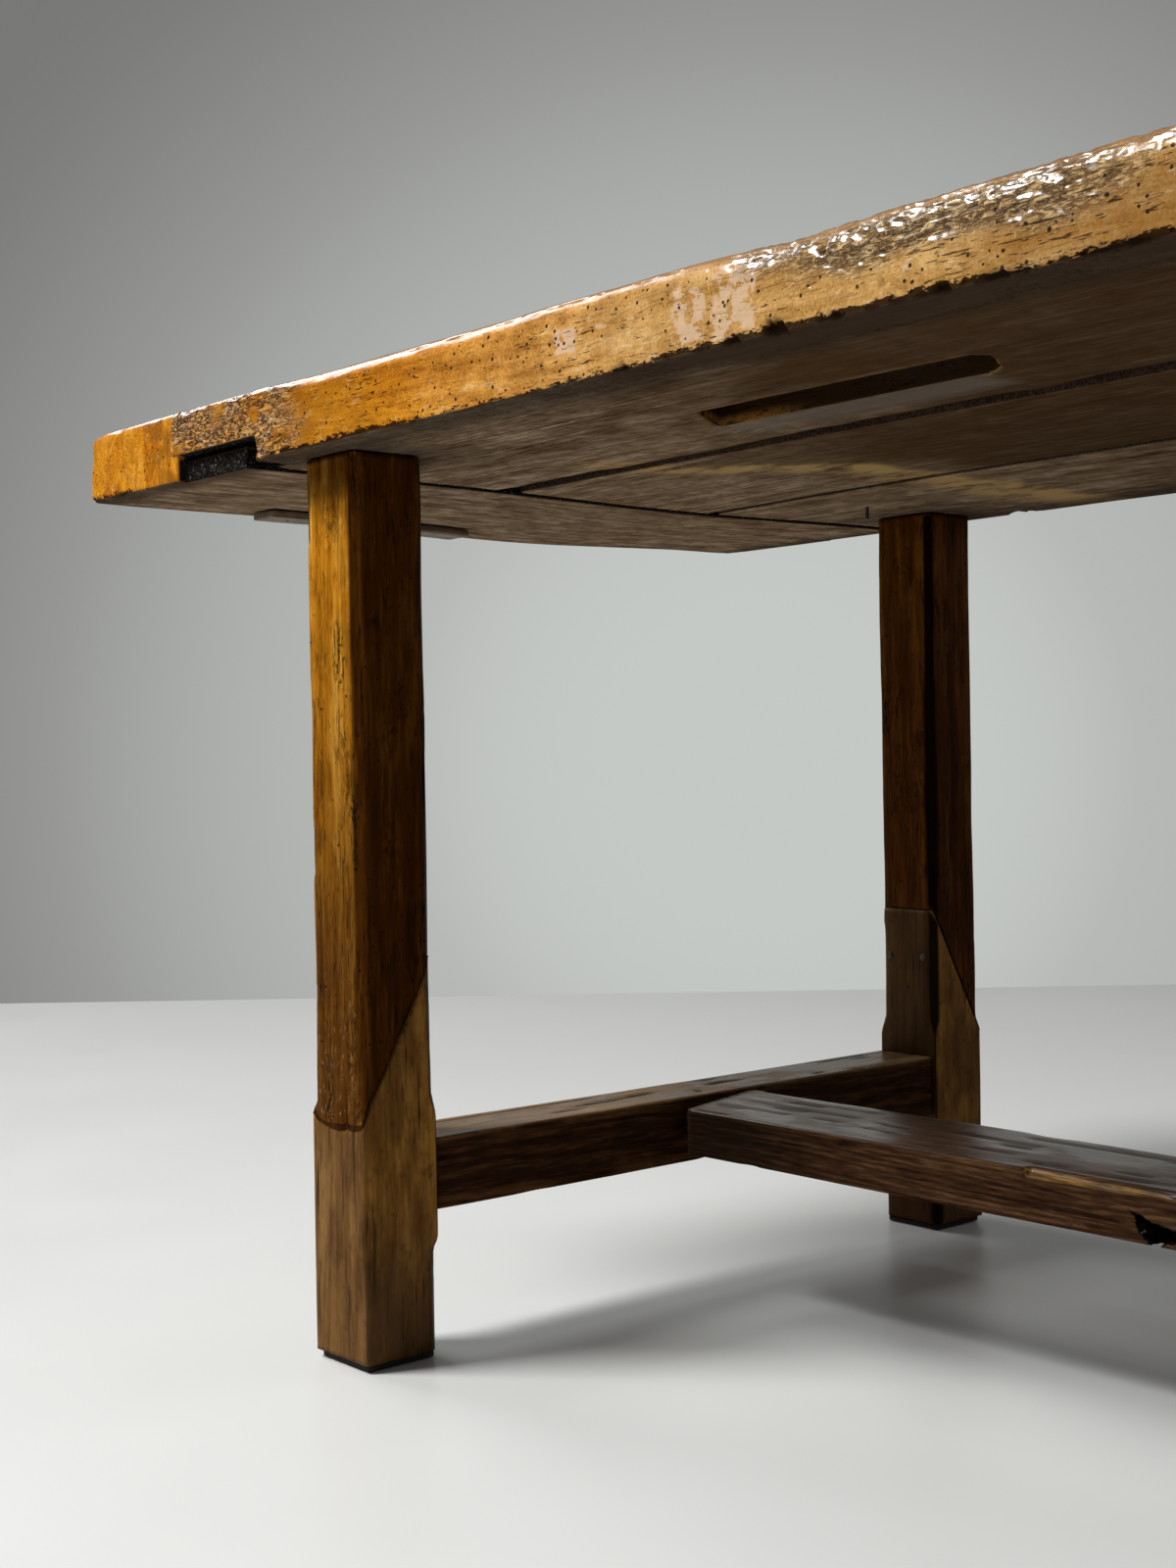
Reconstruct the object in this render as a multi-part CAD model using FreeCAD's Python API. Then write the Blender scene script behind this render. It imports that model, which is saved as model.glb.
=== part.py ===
import FreeCAD, Part
import math
import os

# Refectory table: a thick plank top with lapped end boards, four scarfed legs and an H stretcher.
# Millimetres. +X runs along the table, +Y from the front edge to the back edge, +Z up.
# The origin is on the floor under the middle of the table.

os.makedirs("parts", exist_ok=True)
V = FreeCAD.Vector

# Overall table
table_height = 760.0
top_length = 2000.0
top_width = 794.0
top_thickness = 58.0

# Fits shared by all joints
seat_clearance = 0.2
overrun = 5.0

# Long boards of the top, counted from the front edge
front_board_width = 278.0
middle_board_width = 241.0
front_joint_gap = 3.0
back_joint_gap = 1.5

# Loose tongues that line up neighbouring boards
tongue_count = 4
tongue_length = 90.0
tongue_reach = 30.0
tongue_thickness = 12.0

# End boards: a full-thickness body and a lower tongue lapped under the long boards
end_board_body = 160.0
end_board_drop = 2.0
lap_length = 98.0
lap_thickness = 18.0
lap_side_gap = 3.0
lap_end_recess = 7.0
lap_peg_diameter = 14.0
lap_peg_stop = 5.0
lap_peg_width_shares = (0.25, 0.75)
end_corner_radius = 10.0

# Worn mouth of the lap joint at the front left corner
mouth_depth = 30.0
mouth_side = 18.0
mouth_top = 4.0

# Split in the left end board
split_from_front = 530.0
split_length = 150.0
split_width = 2.0
split_depth = 24.0

# Old housing cut in the underside of the front board
housing_from_end = 634.0
housing_from_front = 141.0
housing_length = 255.0
housing_width = 56.0
housing_slant = 34.0
housing_depth = 17.0
housing_corner_radius = 18.0

# Legs
leg_setback = 46.0
leg_overhang = 27.0
leg_x = 72.0
leg_y = 71.0
leg_chamfer = 8.0
block_bottom = 95.0
block_top = 188.0
post_chamfer_runout = 22.0
foot_chamfer_runout = 11.0

# Through tenon and wedge at the top of each leg
tenon_x = 40.0
tenon_y = 36.0
wedge_depth = 38.0
wedge_top_thickness = 7.0
wedge_tip_thickness = 1.5

# Scarf between a leg's post and its foot: heights where the slope meets the outer and inner faces
scarf_outer_height = 188.0
scarf_inner_height = 315.0
scarf_peg_diameter = 8.0
scarf_peg_height = 267.0
scarf_peg_inset = 15.0
scarf_peg_length = 48.0
scarf_nail_diameter = 4.0
scarf_nail_height = 236.0
scarf_nail_length = 52.0

# Pads under the feet
pad_thickness = 5.0
pad_inset = 4.0

# End stretchers, between the two legs of an end
stretcher_width = 68.0
stretcher_height = 57.0
stretcher_bottom = 114.0
stretcher_tenon_length = 45.0
stretcher_tenon_thickness = 24.0
stretcher_tenon_shoulder = 6.0
stretcher_peg_diameter = 10.0
stretcher_peg_bite = 10.0

# Medial stretcher, a flat rail between the end stretchers
medial_width = 102.0
medial_height = 42.0
medial_drop = 2.5
medial_skew = 22.0
medial_tenon_length = 36.0
medial_tenon_width = 70.0
medial_tenon_thickness = 20.0
medial_peg_diameter = 9.0
medial_peg_bite = 8.0

# Rotted knot in the lower front arris of the medial stretcher
knot_from_end = 841.0
knot_length = 28.0
knot_height = 17.0
knot_depth = 16.0

# Mending cleat nailed under the left end board
cleat_from_end = 26.0
cleat_from_front = 151.0
cleat_width = 34.0
cleat_length = 226.0
cleat_thickness = 8.0
cleat_nail_diameter = 4.0
cleat_nail_length = 30.0
cleat_nail_length_shares = (0.12, 0.5, 0.88)

# Old nail left in the underside of the back board, between its seam and the left leg
old_nail_side_step = 9.0
old_nail_seam_to_leg_share = 0.55
old_nail_diameter = 4.0
old_nail_proud = 12.0
old_nail_depth = 25.0

# Places worked out from the sizes above
end_x = top_length / 2
front_y = -top_width / 2
back_y = top_width / 2
underside = table_height - top_thickness
end_underside = underside - end_board_drop
lap_top = end_underside + lap_thickness
board_end_x = end_x - end_board_body
lap_edge_x = board_end_x - lap_length
rebate_edge_x = lap_edge_x - lap_side_gap
leg_outer_x = lap_edge_x - leg_setback
leg_inner_x = leg_outer_x - leg_x
leg_outer_y = back_y - leg_overhang
leg_inner_y = leg_outer_y - leg_y
leg_mid_x = (leg_outer_x + leg_inner_x) / 2
leg_mid_y = (leg_outer_y + leg_inner_y) / 2
stretcher_inner_x = leg_outer_x - stretcher_width
stretcher_mid_x = leg_outer_x - stretcher_width / 2
stretcher_top = stretcher_bottom + stretcher_height
stretcher_mid_z = stretcher_bottom + stretcher_height / 2
medial_top = stretcher_top - medial_drop
medial_bottom = medial_top - medial_height
medial_mid_z = medial_bottom + medial_height / 2
front_seam_y = front_y + front_board_width
middle_seam_y = front_seam_y + front_joint_gap
back_seam_y = middle_seam_y + middle_board_width
last_seam_y = back_seam_y + back_joint_gap


def box(x0, x1, y0, y1, z0, z1):
    """A block between two opposite corners, given in any order along each axis."""
    low = V(min(x0, x1), min(y0, y1), min(z0, z1))
    return Part.makeBox(abs(x1 - x0), abs(y1 - y0), abs(z1 - z0), low)


def prism(points, direction):
    """A flat outline swept along a straight line."""
    outline = Part.makePolygon(points + points[:1])
    return Part.Face(outline).extrude(direction)


def rod(start, end, diameter):
    """A round bar between two points."""
    along = end - start
    return Part.makeCylinder(diameter / 2, along.Length, start, along)


def rod_and_hole(start, end, diameter):
    """A driven pin and the hole that takes it, open at its start."""
    along = end - start
    along.normalize()
    hole = rod(start - along * overrun, end + along * seat_clearance, diameter + 2 * seat_clearance)
    return rod(start, end, diameter), hole


def flip_x(shape):
    return shape.mirror(V(0, 0, 0), V(1, 0, 0))


def flip_y(shape):
    return shape.mirror(V(0, 0, 0), V(0, 1, 0))


def save(name, *shapes):
    """Write one sub-part, as one solid or as a group of separate solids."""
    shape = shapes[0] if len(shapes) == 1 else Part.makeCompound(list(shapes))
    assert shape.isValid(), name
    shape.exportStep("parts/" + name + ".step")


def at_each_corner(shape):
    """The four copies of a back right shape, keyed by corner name."""
    return {
        "back_right": shape,
        "front_right": flip_y(shape),
        "back_left": flip_x(shape),
        "front_left": flip_x(flip_y(shape)),
    }


# Legs, made once for the back right corner and mirrored to the others

def chamfer_cutter(side_x, side_y, low, low_runout, high, high_runout):
    """Wedge that bevels one vertical corner of the leg and runs out at a stopped end."""
    outward = V(side_x, side_y, 0)
    outward.normalize()
    across = V(-side_y, side_x, 0)
    across.normalize()
    corner = V(leg_mid_x + side_x * leg_x / 2, leg_mid_y + side_y * leg_y / 2, 0)
    cut = leg_chamfer / math.sqrt(2)
    reach = cut + overrun

    def place(depth, height):
        return corner + outward * depth + V(0, 0, height)

    low_slope = low_runout / cut * reach
    high_slope = high_runout / cut * reach
    outline = [
        place(-cut, low + low_runout),
        place(-cut, high - high_runout),
        place(overrun, high - high_runout + high_slope),
        place(overrun, low + low_runout - low_slope),
    ]
    shifted = [point - across * reach for point in outline]
    return prism(shifted, across * (2 * reach))


def scarf_cutter():
    """Everything above the sloping scarf of a leg."""
    slope = (scarf_inner_height - scarf_outer_height) / leg_y
    rise = slope * overrun
    x0 = leg_inner_x - overrun
    outline = [
        V(x0, leg_outer_y + overrun, scarf_outer_height - rise),
        V(x0, leg_inner_y - overrun, scarf_inner_height + rise),
        V(x0, leg_inner_y - overrun, table_height + overrun),
        V(x0, leg_outer_y + overrun, table_height + overrun),
    ]
    return prism(outline, V(leg_x + 2 * overrun, 0, 0))


def tenon_wedge():
    """Wedge driven into the top of a leg's through tenon, wide across the table."""
    half_top = wedge_top_thickness / 2
    half_tip = wedge_tip_thickness / 2
    y0 = leg_mid_y - tenon_y / 2
    outline = [
        V(leg_mid_x - half_tip, y0, table_height - wedge_depth),
        V(leg_mid_x + half_tip, y0, table_height - wedge_depth),
        V(leg_mid_x + half_top, y0, table_height),
        V(leg_mid_x - half_top, y0, table_height),
    ]
    return prism(outline, V(0, tenon_y, 0))


def scarf_fixings():
    """Two pegs and a nail driven outward from the inner face of a leg."""
    pegs = []
    for peg_x in (leg_inner_x + scarf_peg_inset, leg_outer_x - scarf_peg_inset):
        start = V(peg_x, leg_inner_y, scarf_peg_height)
        pegs.append(rod_and_hole(start, start + V(0, scarf_peg_length, 0), scarf_peg_diameter))
    start = V(leg_mid_x, leg_inner_y, scarf_nail_height)
    nail = rod_and_hole(start, start + V(0, scarf_nail_length, 0), scarf_nail_diameter)
    return pegs, nail


def stretcher_peg():
    """Peg driven from the outer face of a foot through the stretcher's tenon."""
    peg_y = leg_inner_y + stretcher_tenon_length / 2
    tenon_side_x = stretcher_mid_x - stretcher_tenon_thickness / 2
    start = V(leg_outer_x, peg_y, stretcher_mid_z)
    end = V(tenon_side_x - stretcher_peg_bite, peg_y, stretcher_mid_z)
    return rod_and_hole(start, end, stretcher_peg_diameter)


def stretcher_tenon(clearance):
    """One end tenon of an end stretcher, grown by the clearance for its mortise."""
    half = stretcher_tenon_thickness / 2 + clearance
    return box(
        stretcher_mid_x - half, stretcher_mid_x + half,
        leg_inner_y, leg_inner_y + stretcher_tenon_length + clearance,
        stretcher_bottom + stretcher_tenon_shoulder - clearance,
        stretcher_top - stretcher_tenon_shoulder + clearance)


def leg_tenon(clearance):
    """Through tenon on top of a leg, grown by the clearance for its mortise."""
    half_x = tenon_x / 2 + clearance
    half_y = tenon_y / 2 + clearance
    return box(leg_mid_x - half_x, leg_mid_x + half_x, leg_mid_y - half_y, leg_mid_y + half_y,
               underside, table_height)


wedge = tenon_wedge()
scarf_pegs, scarf_nail = scarf_fixings()
foot_peg, foot_peg_hole = stretcher_peg()

whole_leg = box(leg_inner_x, leg_outer_x, leg_inner_y, leg_outer_y, pad_thickness, underside)
for side_x in (-1, 1):
    for side_y in (-1, 1):
        bevel = chamfer_cutter(side_x, side_y, block_top, post_chamfer_runout, underside + overrun, 0)
        whole_leg = whole_leg.cut(bevel)
    inner_bevel = chamfer_cutter(side_x, -1, pad_thickness - overrun, 0, block_bottom, foot_chamfer_runout)
    whole_leg = whole_leg.cut(inner_bevel)

fixing_holes = [hole for peg, hole in scarf_pegs] + [scarf_nail[1]]
post = whole_leg.common(scarf_cutter()).fuse(leg_tenon(0)).removeSplitter()
post = post.cut([wedge] + fixing_holes)
foot = whole_leg.cut([scarf_cutter(), stretcher_tenon(seat_clearance), foot_peg_hole] + fixing_holes)
pad = box(leg_inner_x + pad_inset, leg_outer_x - pad_inset,
          leg_inner_y + pad_inset, leg_outer_y - pad_inset, 0, pad_thickness)

for corner_name, shape in at_each_corner(post).items():
    save("leg_post_" + corner_name, shape)
for corner_name, shape in at_each_corner(foot).items():
    save("leg_foot_" + corner_name, shape)
for corner_name, shape in at_each_corner(pad).items():
    save("foot_pad_" + corner_name, shape)

save("tenon_wedges", *at_each_corner(wedge).values())
save("scarf_pegs", *[copy for peg, hole in scarf_pegs for copy in at_each_corner(peg).values()])
save("scarf_nails", *at_each_corner(scarf_nail[0]).values())
save("stretcher_pegs", *at_each_corner(foot_peg).values())


# Stretchers

def medial_tenon(clearance):
    """Right end tenon of the medial stretcher, grown by the clearance for its mortise."""
    half_width = medial_tenon_width / 2 + clearance
    half_thickness = medial_tenon_thickness / 2 + clearance
    return box(stretcher_inner_x, stretcher_inner_x + medial_tenon_length + clearance,
               -half_width, half_width, medial_mid_z - half_thickness, medial_mid_z + half_thickness)


def medial_peg():
    """Peg driven down through the end stretcher and the medial tenon."""
    peg_x = stretcher_inner_x + medial_tenon_length / 2
    foot_z = medial_mid_z - medial_tenon_thickness / 2 - medial_peg_bite
    return rod_and_hole(V(peg_x, 0, stretcher_top), V(peg_x, 0, foot_z), medial_peg_diameter)


cross_peg, cross_peg_hole = medial_peg()
end_stretcher = box(stretcher_inner_x, leg_outer_x, -leg_inner_y, leg_inner_y, stretcher_bottom, stretcher_top)
end_stretcher = end_stretcher.fuse([stretcher_tenon(0), flip_y(stretcher_tenon(0))]).removeSplitter()
end_stretcher = end_stretcher.cut([foot_peg_hole, flip_y(foot_peg_hole),
                                   medial_tenon(seat_clearance), cross_peg_hole])
save("end_stretcher_right", end_stretcher)
save("end_stretcher_left", flip_x(end_stretcher))

half_medial = medial_width / 2
medial_plan = [
    V(-stretcher_inner_x + medial_skew, -half_medial, medial_bottom),
    V(stretcher_inner_x, -half_medial, medial_bottom),
    V(stretcher_inner_x, half_medial, medial_bottom),
    V(-stretcher_inner_x, half_medial, medial_bottom),
]
medial = prism(medial_plan, V(0, 0, medial_height))
left_tenon = flip_x(medial_tenon(0)).fuse(
    box(-stretcher_inner_x, -stretcher_inner_x + medial_skew, -medial_tenon_width / 2, medial_tenon_width / 2,
        medial_mid_z - medial_tenon_thickness / 2, medial_mid_z + medial_tenon_thickness / 2))
medial = medial.fuse([medial_tenon(0), left_tenon]).removeSplitter()
knot_x = -end_x + knot_from_end
knot = box(knot_x, knot_x + knot_length, -half_medial - overrun, -half_medial + knot_depth,
           medial_bottom - overrun, medial_bottom + knot_height)
medial = medial.cut([cross_peg_hole, flip_x(cross_peg_hole), knot])
save("medial_stretcher", medial)
save("medial_pegs", cross_peg, flip_x(cross_peg))


# Top: three long boards, their loose tongues and the lapped end boards

def board_tongues(seam_low_y, seam_high_y, clearance):
    """Loose tongues across one seam, spread evenly between the laps."""
    pieces = []
    step = 2 * rebate_edge_x / tongue_count
    half_length = tongue_length / 2 + clearance
    half_thickness = tongue_thickness / 2 + clearance
    mid_z = underside + top_thickness / 2
    for index in range(tongue_count):
        mid_x = -rebate_edge_x + step * (index + 1 / 2)
        pieces.append(box(mid_x - half_length, mid_x + half_length,
                          seam_low_y - tongue_reach - clearance, seam_high_y + tongue_reach + clearance,
                          mid_z - half_thickness, mid_z + half_thickness))
    return pieces


def lap_pegs():
    """Pegs and holes that hold the right end board's lap, driven from the tabletop."""
    peg_x = (board_end_x + lap_edge_x) / 2
    pins = []
    for low_y, high_y in ((front_y, front_seam_y), (middle_seam_y, back_seam_y), (last_seam_y, back_y)):
        for width_share in lap_peg_width_shares:
            peg_y = low_y + width_share * (high_y - low_y)
            start = V(peg_x, peg_y, table_height)
            pins.append(rod_and_hole(start, V(peg_x, peg_y, end_underside + lap_peg_stop), lap_peg_diameter))
    return pins


def old_housing():
    """Shallow slanted housing with one rounded end, in the underside of the front board."""
    near_y = front_y + housing_from_front
    far_y = near_y + housing_width
    near_x = -end_x + housing_from_end
    low = underside - overrun
    outline = [
        V(near_x, near_y, low),
        V(near_x + housing_length, near_y, low),
        V(near_x + housing_length - housing_slant, far_y, low),
        V(near_x - housing_slant, far_y, low),
    ]
    block = prism(outline, V(0, 0, housing_depth + overrun))
    round_edges = [edge for edge in block.Edges
                   if edge.BoundBox.ZLength > housing_depth
                   and edge.BoundBox.XMin > near_x + housing_length - housing_slant - seat_clearance]
    return block.makeFillet(housing_corner_radius, round_edges)


lap_pins = lap_pegs()
right_peg_holes = [hole for pin, hole in lap_pins]
left_peg_holes = [flip_x(hole) for hole in right_peg_holes]
leg_mortises = list(at_each_corner(leg_tenon(seat_clearance)).values())
rebate_top = lap_top + seat_clearance
right_rebate = box(rebate_edge_x, board_end_x + overrun, front_y - overrun, back_y + overrun,
                   underside - overrun, rebate_top)
worn_mouth = box(-board_end_x, -rebate_edge_x + mouth_side, front_y - overrun, front_y + mouth_depth,
                 underside - overrun, rebate_top + mouth_top)
front_holes = board_tongues(front_seam_y, middle_seam_y, seat_clearance)
back_holes = board_tongues(back_seam_y, last_seam_y, seat_clearance)

nail_x = -leg_inner_x - old_nail_side_step
nail_y = last_seam_y + old_nail_seam_to_leg_share * (leg_inner_y - last_seam_y)
old_nail = rod(V(nail_x, nail_y, underside - old_nail_proud), V(nail_x, nail_y, underside + old_nail_depth),
               old_nail_diameter)
old_nail_hole = rod(V(nail_x, nail_y, underside - overrun),
                    V(nail_x, nail_y, underside + old_nail_depth + seat_clearance),
                    old_nail_diameter + 2 * seat_clearance)

joint_cuts = [right_rebate, flip_x(right_rebate)] + right_peg_holes + left_peg_holes + leg_mortises
boards = {
    "top_board_front": (front_y, front_seam_y, front_holes + [worn_mouth, old_housing()]),
    "top_board_middle": (middle_seam_y, back_seam_y, front_holes + back_holes),
    "top_board_back": (last_seam_y, back_y, back_holes + [old_nail_hole]),
}
for board_name, (low_y, high_y, own_cuts) in boards.items():
    plank = box(-board_end_x, board_end_x, low_y, high_y, underside, table_height)
    save(board_name, plank.cut(joint_cuts + own_cuts))

save("front_seam_tongues", *board_tongues(front_seam_y, middle_seam_y, 0))
save("back_seam_tongues", *board_tongues(back_seam_y, last_seam_y, 0))
save("old_nail", old_nail)

end_body = box(board_end_x, end_x, front_y, back_y, end_underside, table_height)
corner_edges = [edge for edge in end_body.Edges
                if edge.BoundBox.XMin > board_end_x + seat_clearance and edge.BoundBox.ZLength > lap_thickness]
end_body = end_body.makeFillet(end_corner_radius, corner_edges)
lap = box(lap_edge_x, board_end_x, front_y + lap_end_recess, back_y - lap_end_recess, end_underside, lap_top)
end_board = end_body.fuse(lap).removeSplitter()
save("end_board_right", end_board.cut(right_peg_holes))

cleat_x = -end_x + cleat_from_end
cleat_y = front_y + cleat_from_front
cleat_bottom = end_underside - cleat_thickness
cleat = box(cleat_x, cleat_x + cleat_width, cleat_y, cleat_y + cleat_length, cleat_bottom, end_underside)
cleat_nails = []
for length_share in cleat_nail_length_shares:
    start = V(cleat_x + cleat_width / 2, cleat_y + length_share * cleat_length, cleat_bottom)
    cleat_nails.append(rod_and_hole(start, start + V(0, 0, cleat_nail_length), cleat_nail_diameter))
cleat_holes = [hole for nail, hole in cleat_nails]
split_y = front_y + split_from_front
split = box(-end_x - overrun, -end_x + split_length, split_y - split_width / 2, split_y + split_width / 2,
            end_underside - overrun, end_underside + split_depth)
save("end_board_left", flip_x(end_board).cut(left_peg_holes + cleat_holes + [split]))
save("mending_cleat", cleat.cut(cleat_holes))
save("cleat_nails", *[nail for nail, hole in cleat_nails])
save("lap_pegs_right", *[pin for pin, hole in lap_pins])
save("lap_pegs_left", *[flip_x(pin) for pin, hole in lap_pins])
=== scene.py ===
import math

import bmesh
import bpy
import numpy as np
from mathutils import Matrix, Vector


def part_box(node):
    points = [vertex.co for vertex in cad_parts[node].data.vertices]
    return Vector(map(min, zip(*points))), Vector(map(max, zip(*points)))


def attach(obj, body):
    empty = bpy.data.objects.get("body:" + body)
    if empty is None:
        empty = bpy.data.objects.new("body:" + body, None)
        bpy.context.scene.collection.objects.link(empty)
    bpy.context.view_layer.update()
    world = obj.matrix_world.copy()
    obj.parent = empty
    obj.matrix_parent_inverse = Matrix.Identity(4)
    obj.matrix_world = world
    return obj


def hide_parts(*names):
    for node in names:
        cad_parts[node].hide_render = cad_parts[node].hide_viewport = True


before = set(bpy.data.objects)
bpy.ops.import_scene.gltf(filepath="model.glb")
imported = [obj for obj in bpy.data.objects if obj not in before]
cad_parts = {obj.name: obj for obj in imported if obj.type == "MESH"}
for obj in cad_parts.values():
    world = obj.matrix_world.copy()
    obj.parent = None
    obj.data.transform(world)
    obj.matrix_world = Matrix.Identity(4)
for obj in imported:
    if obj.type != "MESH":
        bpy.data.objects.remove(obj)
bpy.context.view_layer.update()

# Old refectory table: waxed plank top with worn edges, chamfered legs on scarfed feet, dark oak stretchers.
# Metres. +X runs along the table, +Y from the front edge to the back edge, +Z up.


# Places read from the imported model

def corners(node):
    """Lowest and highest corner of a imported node, as arrays."""
    low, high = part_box(node)
    return np.array(low), np.array(high)


end_low, end_high = corners("end_board_left")
front_low, front_high = corners("top_board_front")
leg_low, leg_high = corners("leg_post_back_right")
foot_low, foot_high = corners("leg_foot_back_right")
rail_low, rail_high = corners("end_stretcher_right")
medial_low, medial_high = corners("medial_stretcher")
cleat_low, cleat_high = corners("mending_cleat")

table_end = -end_low[0]
table_side = -front_low[1]
tabletop = front_high[2]
underside = front_low[2]
end_underside = end_low[2]
board_end = front_high[0]
lap_edge = -end_high[0]
leg_middle = (leg_low + leg_high) / 2
rail_middle = (rail_low + rail_high) / 2
medial_middle = (medial_low + medial_high) / 2
leg_inner_side = leg_low[1]

# Joints inside the boxes
lap_top = end_underside + 0.018
lap_recess = 0.007
rebate_edge = lap_edge - 0.003
mouth_depth = 0.030
mouth_side = 0.018
mouth_top = lap_top + 0.004
tenon_x = 0.040
tenon_y = 0.036
wedge_thickness = 0.007
wedge_depth = 0.038
scarf_outer = leg_low[2]
scarf_inner = foot_high[2]
rail_tenon_thickness = 0.024
rail_tenon_shoulder = 0.006
rail_tenon_length = 0.045
medial_tenon_length = 0.036
medial_tenon_width = 0.070
medial_tenon_thickness = 0.020
medial_skew = 0.022
joint_gap = 0.0003
touching = 1e-6

# Old housing and split, measured from the left end and the front edge
housing_near = 0.141
housing_far = 0.197
housing_start = 0.634
housing_length = 0.255
housing_slant = 0.034
housing_depth = 0.017
housing_round = 0.018
split_near = 0.530
split_length = 0.150
split_width = 0.002
split_depth = 0.024

# Leg shaping
leg_chamfer = 0.008
block_bottom = 0.095
block_top = 0.186
post_runout = 0.020
foot_runout = 0.011
scarf_bow = 0.007
# Rubbed amber of the outer faces: height where it has faded out, and the rise over which it does
amber_bottom = 0.20
amber_rise = 0.43

# Rotted knot in the medial stretcher, measured from the left end
knot_start = 0.841
knot_length = 0.028
knot_height = 0.017
knot_depth = 0.016

# Front upper arris of the medial stretcher, rubbed bare by feet, measured from the left end
rubbed_start = 0.745
rubbed_stop = 1.35
rubbed_width = 0.0058


# Random fields, the same on every run

lattice_size = 32
lattices = {}


def noise(points, size, seed):
    """Smooth random values from 0 to 1, with bumps of about the given size along each axis."""
    if seed not in lattices:
        lattices[seed] = np.random.default_rng(seed).random((lattice_size,) * 3)
    spot = points / np.asarray(size, float)
    cell = np.floor(spot).astype(int)
    part = spot - cell
    part = part * part * (3 - 2 * part)
    total = np.zeros(len(points))
    for corner in np.ndindex(2, 2, 2):
        weight = np.prod(np.where(corner, part, 1 - part), axis=1)
        index = (cell + corner) % lattice_size
        total += weight * lattices[seed][index[:, 0], index[:, 1], index[:, 2]]
    return total


def rough(points, size, seed, layers=4):
    """Layered noise from 0 to 1, each layer half the size and strength of the one before."""
    size = np.asarray(size, float)
    shares = 0.5 ** np.arange(layers)
    total = sum(share * noise(points, size * share, seed + layer) for layer, share in enumerate(shares))
    return total / shares.sum()


def ramp(value, low, high):
    """Eases from 0 at low to 1 at high."""
    share = np.clip((value - low) / (high - low), 0.0, 1.0)
    return share * share * (3 - 2 * share)


def fall(value, low, high):
    """Eases from 1 at low to 0 at high."""
    return 1 - ramp(value, low, high)


def stretch_of(value, low, high, margin):
    """1 between low and high, easing to 0 over the margin outside them."""
    return ramp(value, low - margin, low) * fall(value, high, high + margin)


# Timber surfaces

same_place = 1e-5


def lines(stops, step):
    """Grid lines through all the stops, about a step apart; the step may depend on the place."""
    stops = sorted(stops)
    stops = [stop for before, stop in zip([-math.inf] + stops, stops) if stop - before > same_place]
    places = []
    for low, high in zip(stops, stops[1:]):
        wanted = step((low + high) / 2) if callable(step) else step
        count = max(1, round((high - low) / wanted))
        places += [low + (high - low) * index / count for index in range(count)]
    return np.array(places + [stops[-1]])


def uncut(x, y, z):
    """Leaves the block whole."""
    return np.zeros(x.shape, bool)


def carved_block(stops, steps, is_cut=uncut):
    """Closed surface of a block gridded through the stops, less the cells whose middles are cut away."""
    xs, ys, zs = (lines(*axis) for axis in zip(stops, steps))
    axes = [(axis[1:] + axis[:-1]) / 2 for axis in (xs, ys, zs)]
    x, y, z = np.meshgrid(*axes, indexing="ij")
    solid = np.pad(~is_cut(x, y, z), 1).astype(np.int8)
    shape = (len(xs), len(ys), len(zs))
    faces = []
    for axis in range(3):
        first, second = (axis + 1) % 3, (axis + 2) % 3
        inner = [slice(1, -1)] * 3
        inner[axis] = slice(None)
        change = np.diff(solid, axis=axis)[tuple(inner)]
        for sign in (1, -1):
            low = np.argwhere(change == sign)
            ring = []
            for a, b in ((0, 0), (1, 0), (1, 1), (0, 1)):
                corner = low.copy()
                corner[:, first] += a
                corner[:, second] += b
                ring.append(np.ravel_multi_index(corner.T, shape))
            ring = np.stack(ring, axis=1)
            faces.append(ring[:, ::-1] if sign == 1 else ring)
    used, faces = np.unique(np.concatenate(faces), return_inverse=True)
    i, j, k = np.unravel_index(used, shape)
    points = np.stack([xs[i], ys[j], zs[k]], axis=1)
    return points, faces.reshape(-1, 4).tolist()


def sliced(points, faces, place, normal):
    """The part of a closed surface behind a plane, closed again with a flat cap."""
    shape = bmesh.new()
    verts = [shape.verts.new(point) for point in points]
    for face in faces:
        shape.faces.new([verts[index] for index in face])
    everything = shape.verts[:] + shape.edges[:] + shape.faces[:]
    cut = bmesh.ops.bisect_plane(shape, geom=everything, plane_co=place, plane_no=normal, clear_outer=True)
    rim = [part for part in cut["geom_cut"] if isinstance(part, bmesh.types.BMEdge)]
    bmesh.ops.holes_fill(shape, edges=rim)
    shape.verts.index_update()
    points = np.array([vert.co for vert in shape.verts])
    faces = [[vert.index for vert in face.verts] for face in shape.faces]
    shape.free()
    return points, faces


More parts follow.
